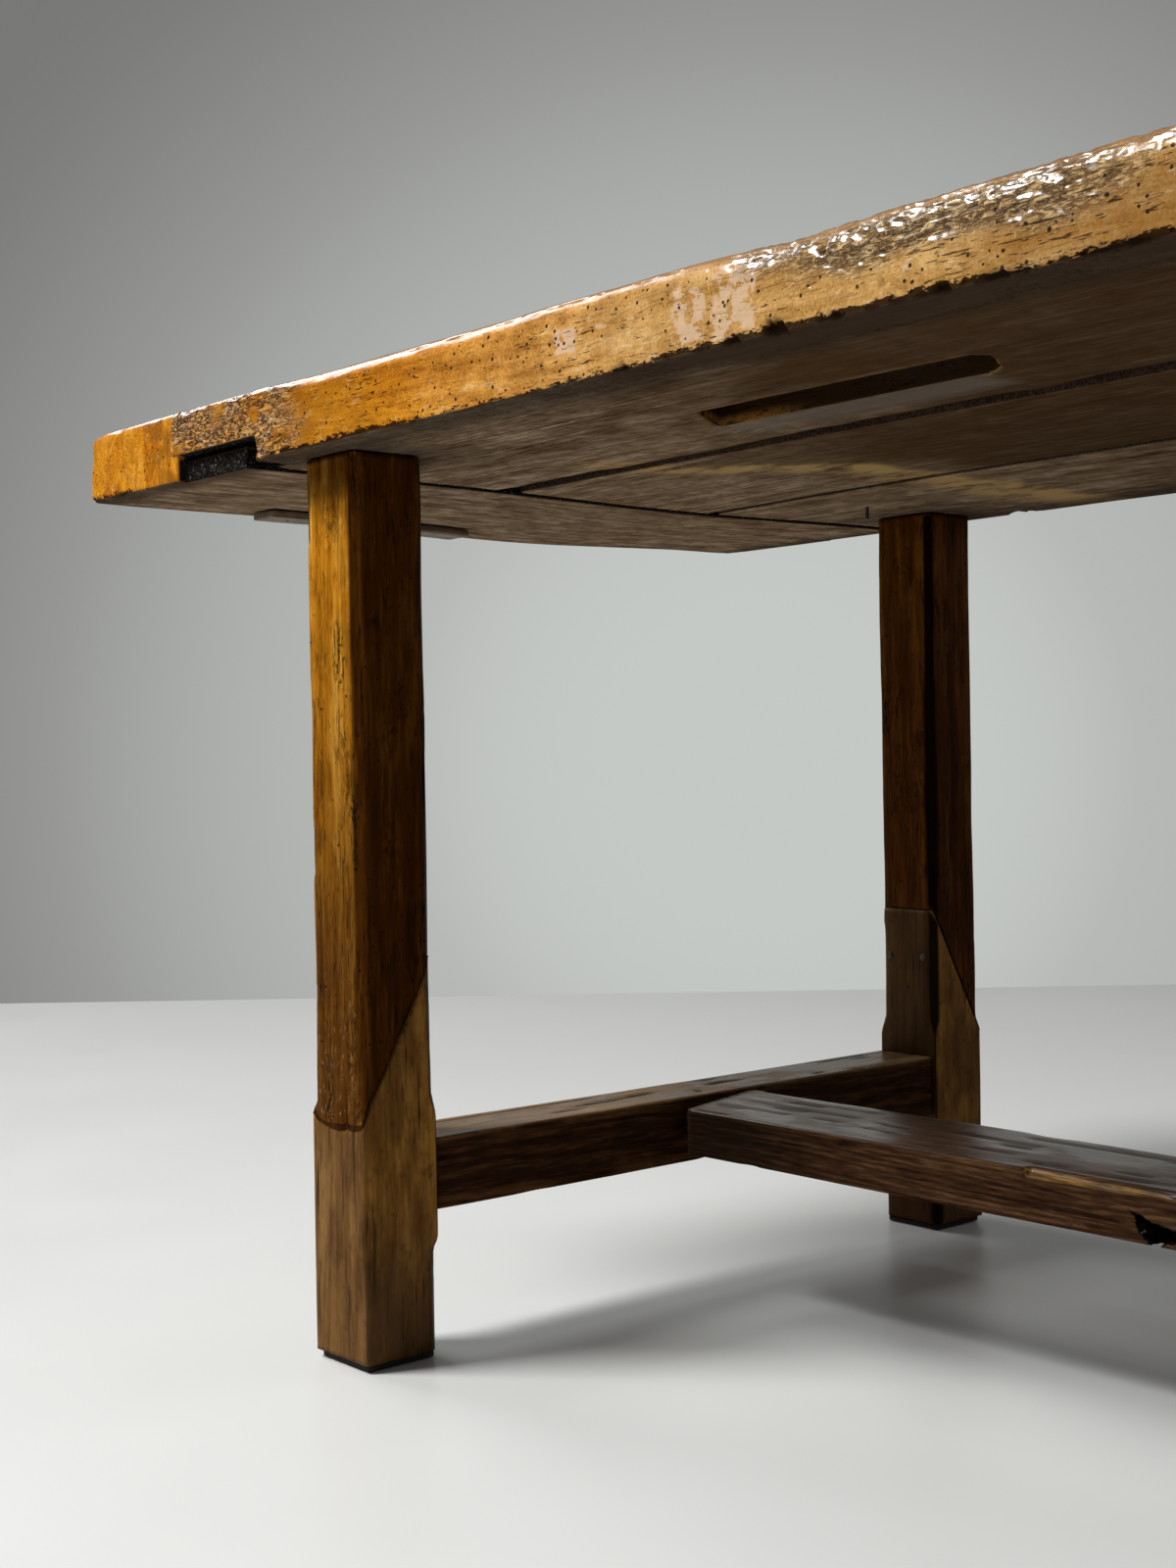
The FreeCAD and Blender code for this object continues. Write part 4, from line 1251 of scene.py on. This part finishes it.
def leg(name, side_x, side_y, seed):
    """One leg: a chamfered post and the foot scarfed on below it."""
    middle = leg_middle[:2] * (side_x, side_y)
    half = (leg_high[:2] - leg_low[:2]) / 2
    slope = (scarf_inner - scarf_outer) / (2 * half[1])
    scarf_middle = Vector((middle[0], middle[1], (scarf_inner + scarf_outer) / 2))
    scarf_up = Vector((0, side_y * slope, 1)).normalized()

    def leg_lines(axis):
        low, high = middle[axis] - half[axis], middle[axis] + half[axis]
        stops = [low, low + leg_chamfer, high - leg_chamfer, high]

        def step(place):
            return 0.0027 if abs(place - middle[axis]) > half[axis] - leg_chamfer else 0.0042

        return stops, step

    def shape_leg(timber, newer):
        """Chamfers, wear and masks shared by the post and the foot."""
        points = timber.points
        start = timber.start
        x, y, z = start.T
        masks = timber.masks
        below_top = z < underside + touching
        upper = np.clip((z - block_top) / post_runout, 0, 1) * below_top
        lower = np.clip((block_bottom - z) / foot_runout, 0, 1)
        wobble = 0.75 + 0.5 * timber.rough(0.1, 1)
        arris = np.zeros(len(points))
        for corner_x in (-1, 1):
            for corner_y in (-1, 1):
                size = leg_chamfer * upper * wobble
                if corner_y == -side_y:
                    size = np.maximum(size, leg_chamfer * lower)
                size = np.maximum(size, 0.0016 * below_top)
                corner = middle + half * np.array([corner_x, corner_y])
                corner_chamfer(points, middle, half, corner_x, corner_y, size)
                reach = np.abs(start[:, :2] - corner).max(axis=1)
                arris = np.maximum(arris, fall(np.abs(reach - size), 0.001, 0.005))
        timber.soften(0.2 * below_top, 1)
        normals = timber.normals()
        waves = 0.0013 * timber.rough((0.05, 0.05, 0.14), 2)
        fissures = 0.0014 * ramp(timber.noise((0.0045, 0.0045, 0.05), 3), 0.7, 0.84)
        dents = 0.0016 * ramp(timber.noise((0.014, 0.014, 0.022), 4), 0.8, 0.94)
        if newer:
            fissures, dents = 0.3 * fissures, 0.4 * dents
        timber.sink((waves + fissures + dents + (0.0004 if newer else 0.0006)) * below_top)
        # Painted shade in fissures and dents.
        masks["hollow_shade"] = ramp(fissures + dents, 0.0006, 0.002)
        masks["arris"] = arris * timber.rough((0.02, 0.02, 0.05), 5)
        outer_face = ramp(side_y * normals[:, 1], 0.7, 0.92)
        end_face = ramp(side_x * normals[:, 0], 0.7, 0.92)
        uneven_z = z + 0.1 * (timber.rough(0.08, 6) - 0.5)
        height = np.clip((uneven_z - amber_bottom) / amber_rise, 0.26, 1) ** 1.5
        # Painted shadow: the amber darkens over the top few centimetres under the tabletop.
        top_shadow = 1 - 0.8 * ramp(z + 0.03 * timber.rough(0.03, 8), underside - 0.04, underside)
        rubbed_sides_shadowed = np.maximum(np.maximum(outer_face, 0.45 * end_face), 0.04) * height * top_shadow
        tenon_end = ramp(normals[:, 2], 0.3, 0.8) * (z > underside + 0.01)
        masks["amber_and_top_shadow"] = np.maximum(rubbed_sides_shadowed, 0.4 * tenon_end)
        inner_face = ramp(-side_y * normals[:, 1], 0.3, 0.75)
        masks["shade"] = inner_face * (0.75 + 0.2 * fall(z, 0.06, 0.12))
        # Painted shade: the inner corner chamfer, facing away from the light, is made near black.
        inner_corner = -(side_x * normals[:, 0] + side_y * normals[:, 1]) / math.sqrt(2)
        masks["nook_shade"] = ramp(inner_corner, 0.86, 0.96)
        ragged = 0.08 * (timber.rough(0.05, 7) - 0.5)
        masks["crumbled"] = outer_face * fall(z - scarf_outer + ragged, 0.02, 0.15)
        along_face = ramp(np.abs(normals[:, 0]), 0.3, 0.75)
        masks["honey"] = along_face * ramp(z + ragged, 0.05, 0.15)
        masks["muddy"] = along_face * fall(z + ragged, 0.03, 0.09)
        across = (x - middle[0]) / half[0]
        by_scarf = fall(np.abs(z - scarf_outer), 0.004, 0.06)
        by_face = fall(half[1] - side_y * (y - middle[1]), 0.0, 0.04)
        bow = scarf_bow * (1 - np.clip(across, -1, 1) ** 2)
        chewed = 0.005 * (rough(start * (1, 1, 0.2), (0.012, 0.012, 0.012), seed + 9, 3) - 0.5)
        points[:, 2] -= (bow + chewed) * by_scarf * by_face

    x_stops, x_step = leg_lines(0)
    y_stops, y_step = leg_lines(1)
    post_x = x_stops + [middle[0] + place for place in (-tenon_x / 2, tenon_x / 2)]
    post_x += [middle[0] + place for place in (-wedge_thickness / 2, wedge_thickness / 2)]
    post_y = y_stops + [middle[1] + place for place in (-tenon_y / 2, tenon_y / 2)]
    post_z = [scarf_outer - 0.004, underside, tabletop - wedge_depth, tabletop]

    def post_cut(x, y, z):
        off_tenon = (np.abs(x - middle[0]) > tenon_x / 2) | (np.abs(y - middle[1]) > tenon_y / 2)
        in_wedge = (np.abs(x - middle[0]) < wedge_thickness / 2) & (z > tabletop - wedge_depth)
        return (z > underside) & off_tenon | in_wedge

    points, faces = carved_block((post_x, post_y, post_z), (x_step, y_step, 0.0052), post_cut)
    points, faces = sliced(points, faces, scarf_middle + scarf_up * joint_gap, -scarf_up)
    post = Timber("leg_post_" + name, points, faces, seed)
    shape_leg(post, False)
    post.place(leg_post_wood, "leg_posts", post.name)

    tenon_half = rail_tenon_thickness / 2
    rail_x = side_x * rail_middle[0]
    mortise_end = side_y * (leg_inner_side + rail_tenon_length)
    foot_x = x_stops + [rail_x - tenon_half, rail_x + tenon_half]
    foot_y = y_stops + [mortise_end]
    foot_z = [foot_low[2], block_bottom, rail_low[2] + rail_tenon_shoulder,
              rail_high[2] - rail_tenon_shoulder, scarf_inner + 0.004]

    def foot_cut(x, y, z):
        in_height = (z > rail_low[2] + rail_tenon_shoulder) & (z < rail_high[2] - rail_tenon_shoulder)
        in_depth = side_y * y < leg_inner_side + rail_tenon_length
        return in_height & in_depth & (np.abs(x - rail_x) < tenon_half)

    points, faces = carved_block((foot_x, foot_y, foot_z), (x_step, y_step, 0.0045), foot_cut)
    points, faces = sliced(points, faces, scarf_middle - scarf_up * joint_gap, scarf_up)
    foot = Timber("leg_foot_" + name, points, faces, seed)
    shape_leg(foot, True)
    foot.place(leg_foot_wood, "leg_feet", foot.name)


corner_sides = {"front_left": (-1, -1), "front_right": (1, -1), "back_left": (-1, 1), "back_right": (1, 1)}
for seed, (name, (side_x, side_y)) in enumerate(corner_sides.items()):
    leg(name, side_x, side_y, 1000 + 50 * seed)


# Stretchers

def weather_rail(rail, between, wave_size, fissure_size):
    """Makes a rail uneven and fissured; returns its outward directions and the painted shade in its
    fissures.
    """
    normals = rail.normals()
    rail.masks["upward"] = ramp(normals[:, 2], 0.4, 0.85)
    waves = 0.0009 * rail.rough(wave_size, 2)
    fissures = 0.001 * ramp(rail.noise(fissure_size, 3), 0.72, 0.85)
    rail.sink((waves + fissures) * between)
    return normals, ramp(fissures, 0.0005, 0.001) * 0.7


def end_stretcher(side, seed):
    """Rail between the two legs of one end, with its tenons."""
    node = "end_stretcher_" + side
    sign = -1 if side == "left" else 1
    low, high = corners(node)
    shoulder = leg_inner_side
    middle_x = sign * rail_middle[0]
    tenon_half = rail_tenon_thickness / 2
    x_stops = [low[0], high[0], middle_x - tenon_half, middle_x + tenon_half]
    y_stops = [low[1], -shoulder, shoulder, high[1]]
    z_stops = [low[2], low[2] + rail_tenon_shoulder, high[2] - rail_tenon_shoulder, high[2]]

    def is_cut(x, y, z):
        tenon_height = (high[2] - low[2]) / 2 - rail_tenon_shoulder
        tenon = (np.abs(x - middle_x) < tenon_half) & (np.abs(z - rail_middle[2]) < tenon_height)
        return (np.abs(y) > shoulder) & ~tenon

    points, faces = carved_block((x_stops, y_stops, z_stops), (0.0036, 0.005, 0.0034), is_cut)
    rail = Timber(node, points, faces, seed)
    x, y, z = rail.start.T
    masks = rail.masks
    between = np.abs(y) < shoulder + touching
    upper = ramp(z, rail_middle[2], high[2])
    swell = 0.4 + 1.2 * rail.rough((0.05, 0.09, 0.05), 0)
    rail.ease(low, high, np.where(between, (0.001 + 0.0007 * upper) * swell, 0.0005))
    reach = np.minimum(np.abs(x - low[0]), np.abs(x - high[0]))
    height = np.minimum(z - low[2], high[2] - z)
    masks["arris"] = fall(np.hypot(reach, height), 0.003, 0.009) * rail.rough((0.02, 0.05, 0.02), 1)
    # Painted shade in the fissures.
    masks["hollow_shade"] = weather_rail(rail, between, (0.05, 0.12, 0.05), (0.005, 0.05, 0.004))[1]
    rail.place(end_rail_oak, "stretchers", node)


def medial_stretcher(seed):
    """Long flat rail between the end stretchers, skewed at its left shoulder and rotted at a knot."""
    node = "medial_stretcher"
    low, high = medial_low, medial_high
    shoulder = high[0] - medial_tenon_length
    half_width = medial_tenon_width / 2
    half_thick = medial_tenon_thickness / 2
    knot_x = -table_end + knot_start
    x_stops = [low[0], -shoulder, rubbed_start - table_end - 0.01, rubbed_start - table_end + 0.01,
               knot_x - 0.01, knot_x + knot_length + 0.01, shoulder, high[0]]
    y_stops = [low[1], -half_width, half_width, high[1]]
    z_stops = [low[2], medial_middle[2] - half_thick, medial_middle[2] + half_thick, high[2]]

    def rot(x, y, z):
        """Below nothing inside the rotted knot, a leaning three-cornered hole with ragged sides."""
        spots = np.stack([x.ravel(), y.ravel(), z.ravel()], axis=1)
        ragged = 0.34 * (noise(spots, (0.005, 0.009, 0.004), seed + 9).reshape(x.shape) - 0.5)
        across = (x - knot_x) / knot_length
        rise = (z - low[2]) / knot_height
        sides = np.maximum(0.42 * (1 - rise) - across, across - 0.66 - 0.9 * rise)
        sides = np.maximum(np.maximum(sides, across - 1.15), rise - 1.15 + 0.4 * across)
        return sides + 0.3 * ((y - low[1]) / knot_depth) ** 2 + ragged

    def is_cut(x, y, z):
        tenon = (np.abs(y) < half_width) & (np.abs(z - medial_middle[2]) < half_thick)
        return (np.abs(x) > shoulder) & ~tenon | (rot(x, y, z) < 0)

    def x_step(x):
        if abs(x + table_end - rubbed_start) < 0.01:
            return 0.002
        return 0.0014 if abs(x - knot_x - knot_length / 2) < 0.025 else 0.006

    def y_step(y):
        return 0.0016 if y - low[1] < 0.018 else 0.0042

    def z_step(z):
        return 0.0014 if z - low[2] < 0.024 else 0.0018

    points, faces = carved_block((x_stops, y_stops, z_stops), (x_step, y_step, z_step), is_cut)
    rail = Timber(node, points, faces, seed)
    start = rail.start
    x, y, z = start.T
    masks = rail.masks
    between = np.abs(x) < shoulder + touching
    frontward = (high[1] - y) / (high[1] - low[1])
    upper = ramp(z, medial_middle[2], high[2])
    swell = 0.4 + 1.2 * rail.rough((0.09, 0.05, 0.05), 0)
    worn = (0.001 + 0.0014 * upper * frontward) * swell
    rail.ease(low, high, np.where(between, worn, 0.0005))
    reach = y - low[1]
    height = high[2] - z
    near_arris = fall(np.hypot(reach, height), 0.002, 0.006)
    masks["arris"] = near_arris * (0.45 + 0.55 * rail.rough((0.06, 0.02, 0.02), 1))
    normals, fissured = weather_rail(rail, between, (0.12, 0.05, 0.05), (0.06, 0.005, 0.004))
    in_knot = fall(rot(*start.T), 0.03, 0.13)
    rail.soften(0.35 * in_knot, 2)
    along = x + table_end
    run = ramp(along, rubbed_start, rubbed_start + 0.003) * fall(along, rubbed_stop - 0.3, rubbed_stop)
    bare_width = rubbed_width * run * (0.75 + 0.5 * rail.rough((0.05, 0.3, 0.3), 4))
    masks["golden"] = break_arris(rail, reach, height, 1, bare_width, -1)
    # Painted shade in the fissures and the rotted knot.
    masks["hollow_shade"] = np.maximum(fissured, in_knot)
    rail.points[:, 2] -= 0.003 * frontward * upper * between
    at_left = between * fall(x + shoulder, 0.0, 0.16)
    masks["shade"] = ramp(-normals[:, 1], 0.4, 0.8) * fall(x + shoulder, 0.03, 0.26)
    rail.points[:, 0] += medial_skew * frontward * at_left
    rail.place(medial_oak, "stretchers", node)


for seed, side in ((1400, "left"), (1450, "right")):
    end_stretcher(side, seed)
medial_stretcher(1500)


# Small pieces

def node_islands(node):
    """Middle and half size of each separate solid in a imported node."""
    shape = bmesh.new()
    shape.from_mesh(bpy.data.objects[node].data)
    bmesh.ops.remove_doubles(shape, verts=shape.verts[:], dist=touching)
    islands = []
    waiting = set(shape.verts)
    while waiting:
        stack = [waiting.pop()]
        group = []
        while stack:
            vert = stack.pop()
            group.append(np.array(vert.co))
            for edge in vert.link_edges:
                other = edge.other_vert(vert)
                if other in waiting:
                    waiting.remove(other)
                    stack.append(other)
        low, high = np.min(group, axis=0), np.max(group, axis=0)
        islands.append(((low + high) / 2, (high - low) / 2))
    shape.free()
    return sorted(islands, key=lambda island: tuple(np.round(island[0], 4)))


# Rings of a pin: place along its half length and width
pin_rings = [(-1.0, 0.55), (-0.985, 0.9), (-0.95, 1.0), (-0.4, 1.0),
             (0.3, 1.0), (0.95, 1.0), (0.985, 0.9), (1.0, 0.55)]


def turned_pins(node, axis, material, slot, sides, seed, taper=0.0):
    """Hand-cut pins in place of a node's round ones: slightly oval, with eased ends."""
    random = np.random.default_rng(seed)
    points = []
    faces = []
    others = [index for index in range(3) if index != axis]
    for middle, half in node_islands(node):
        base = len(points)
        facets = 1 - 0.05 * random.random(sides)
        oval = 1 - 0.05 * random.random(2)
        for place, width in pin_rings:
            shrink = 1 - taper * (place + 1) / 2
            for step in range(sides):
                angle = math.tau * step / sides
                spot = middle.copy()
                spot[axis] += half[axis] * place
                spot[others[0]] += (half[others[0]] * oval[0] * width * shrink * facets[step]
                                    * math.cos(angle))
                spot[others[1]] += (half[others[1]] * oval[1] * width * shrink * facets[step]
                                    * math.sin(angle))
                points.append(spot)
        for ring in range(len(pin_rings) - 1):
            for step in range(sides):
                after = (step + 1) % sides
                a = base + ring * sides
                b = a + sides
                faces.append([a + step, a + after, b + after, b + step])
        faces.append([base + step for step in reversed(range(sides))])
        last = base + (len(pin_rings) - 1) * sides
        faces.append([last + step for step in range(sides)])
    if axis == 1:
        faces = [face[::-1] for face in faces]
    pins = Timber(node, np.array(points), faces)
    pins.place(material, slot, node)


def foot_pad(name):
    """Thin felt pad with a soft, slightly squashed edge."""
    node = "foot_pad_" + name
    low, high = corners(node)
    points, faces = carved_block(np.transpose([low, high]).tolist(), (0.0035, 0.0035, 0.0012))
    pad = Timber(node, points, faces, 1700)
    pad.ease(low, high, 0.0018)
    inset = 0.0009 * pad.rough(0.01, 0)
    side = 1 - np.abs(pad.normals()[:, 2])
    pad.sink(inset * side)
    pad.place(felt, "foot_pads", node)


def mending_cleat():
    """Thin nailed batten with chewed edges, following the sunken end board."""
    node = "mending_cleat"
    low, high = cleat_low, cleat_high
    points, faces = carved_block(np.transpose([low, high]).tolist(), (0.0034, 0.0045, 0.002))
    batten = Timber(node, points, faces, 1800)
    batten.ease(low, high, 0.0008 + 0.0018 * batten.rough(0.03, 0))
    batten.sink(0.0010 * batten.rough((0.012, 0.05, 0.012), 10))
    batten.points[:, 2] -= sag(batten.start)
    batten.place(cleat_wood, "mending_cleat", node)


for name in corner_sides:
    foot_pad(name)
mending_cleat()
# Pins: node, axis they lie along, material, slot and number of facets
pins = (
    ("scarf_pegs", 1, scarf_peg_wood, "pegs_and_wedges", 14),
    ("scarf_nails", 1, black_iron, "iron_nails", 8),
    ("stretcher_pegs", 0, rail_peg_wood, "pegs_and_wedges", 12),
    ("medial_pegs", 2, rail_peg_wood, "pegs_and_wedges", 12),
    ("lap_pegs_left", 2, lap_peg_wood, "pegs_and_wedges", 16),
    ("lap_pegs_right", 2, lap_peg_wood, "pegs_and_wedges", 16),
    ("cleat_nails", 2, black_iron, "iron_nails", 8))
for seed, pin in enumerate(pins, 21):
    turned_pins(*pin, seed)
turned_pins("old_nail", 2, black_iron, "iron_nails", 7, 28, taper=0.3)

for node, material, slot in (
        ("tenon_wedges", wedge_wood, "pegs_and_wedges"),
        ("front_seam_tongues", tongue_wood, "seam_tongues"),
        ("back_seam_tongues", tongue_wood, "seam_tongues")):
    piece = bpy.data.objects[node]
    piece.data.materials.clear()
    piece.data.materials.append(material)


# Stage: floor, backdrop, light and camera

# Camera as solved from the photograph
image_height = 1600
focal_pixels = 2040.24
film_height = 36.0
camera_place = (0.6407, -1.2170, 0.4580)
camera_yaw = math.radians(139.59)
camera_pitch = math.radians(-0.46)
camera_roll = math.radians(-0.93)

# Floor: how far its far edge lies along the view, its reach to the other sides, its colour
floor_far = 2.77
floor_reach = 9.0
floor_colour = (0.69, 0.694, 0.677)


def pale_floor():
    """Wide pale floor with a faint gloss and painted shade growing towards its far edge, turned so that its
    far edge runs level across the view.
    """
    rim = ((-floor_reach, -floor_reach), (floor_far, -floor_reach),
           (floor_far, floor_reach), (-floor_reach, floor_reach))
    turn = Matrix.Rotation(camera_yaw, 3, "Z")
    mesh = bpy.data.meshes.new("floor")
    mesh.from_pydata([turn @ Vector((*place, 0.0)) for place in rim], [], [(0, 1, 2, 3)])
    material = bpy.data.materials.new("pale_floor")
    material.use_nodes = True
    nodes = Nodes(material.node_tree)
    shader = material.node_tree.nodes["Principled BSDF"]
    place = nodes.add("ShaderNodeTexCoord")["Object"]
    cloud = nodes.noise(place, 2.2, 4.0)
    darker = tuple(part * 0.95 for part in floor_colour)
    colour = nodes.mix(cloud, darker, floor_colour)
    away = (math.cos(camera_yaw), math.sin(camera_yaw), 0.0)
    distance = nodes.vector("DOT_PRODUCT", place, away)["Value"]
    # Painted shade: the floor darkens towards its far edge.
    far_shade = nodes.ramp(distance, -0.6, 2.2, 0.0, 0.8)
    far_shade_colour = tuple(part * 0.7 for part in floor_colour)
    nodes.feed(shader.inputs["Base Color"], nodes.mix(far_shade, colour, far_shade_colour))
    nodes.feed(shader.inputs["Roughness"], nodes.ramp(cloud, 0.3, 0.7, 0.3, 0.38))
    mesh.materials.append(material)
    floor = bpy.data.objects.new("floor", mesh)
    bpy.context.collection.objects.link(floor)


def backdrop():
    """Grey wall with a painted pool of light, seen by the camera and in reflections; a weak even light for
    everything else.
    """
    world = bpy.data.worlds.new("studio")
    bpy.context.scene.world = world
    world.use_nodes = True
    nodes = Nodes(world.node_tree)
    background = world.node_tree.nodes["Background"]
    direction = nodes.add("ShaderNodeTexCoord")["Generated"]
    # Painted pool of light on the wall, brightest just left of where the camera looks.
    light_spot_yaw = camera_yaw - math.radians(5)
    toward = (math.cos(light_spot_yaw), math.sin(light_spot_yaw), 0.0)
    facing = nodes.vector("DOT_PRODUCT", direction, toward)["Value"]
    wall_with_light_spot = nodes.tones(nodes.ramp(facing, 0.88, 1.0), (0.0, (0.19, 0.19, 0.184)),
                       (0.5, (0.31, 0.314, 0.304)), (0.95, (0.47, 0.485, 0.468)),
                       (1.0, (0.56, 0.585, 0.56)))
    path = nodes.add("ShaderNodeLightPath")
    seen = nodes.larger(path["Is Camera Ray"], path["Is Glossy Ray"], path["Is Transmission Ray"])
    nodes.feed(background.inputs["Color"], nodes.mix(seen, (0.075, 0.077, 0.08), wall_with_light_spot))
    background.inputs["Strength"].default_value = 1.0


def soft_light(name, place, target, size, power):
    """Square soft light aimed at a point."""
    lamp = bpy.data.lights.new(name, "AREA")
    lamp.shape = "SQUARE"
    lamp.size = size
    lamp.energy = power
    light = bpy.data.objects.new(name, lamp)
    bpy.context.collection.objects.link(light)
    light.location = place
    light.rotation_euler = (Vector(target) - Vector(place)).to_track_quat("-Z", "Y").to_euler()


def photo_camera():
    """Camera at the viewing angle of the photograph."""
    ahead = Vector((math.cos(camera_pitch) * math.cos(camera_yaw),
                    math.cos(camera_pitch) * math.sin(camera_yaw), math.sin(camera_pitch)))
    level = ahead.cross(Vector((0, 0, 1))).normalized()
    upright = level.cross(ahead)
    right = math.cos(camera_roll) * level + math.sin(camera_roll) * upright
    up = math.cos(camera_roll) * upright - math.sin(camera_roll) * level
    lens = bpy.data.cameras.new("photo_camera")
    lens.sensor_width = film_height
    lens.lens = focal_pixels * film_height / image_height
    camera = bpy.data.objects.new("photo_camera", lens)
    bpy.context.collection.objects.link(camera)
    turn = Matrix((right, up, -ahead)).transposed().to_4x4()
    camera.matrix_world = Matrix.Translation(camera_place) @ turn
    bpy.context.scene.camera = camera


pale_floor()
backdrop()
soft_light("key", (-2.2, -2.65, 4.45), (-0.35, 0.0, 0.45), 1.5, 350.0)
soft_light("rim", (-3.7, -0.4, 3.1), (-0.3, -0.35, 0.65), 1.4, 60.0)
soft_light("back_fill", (0.9, 3.4, 2.4), (0.0, 0.3, 0.5), 2.0, 20.0)
photo_camera()
bpy.context.scene.view_settings.view_transform = "Standard"
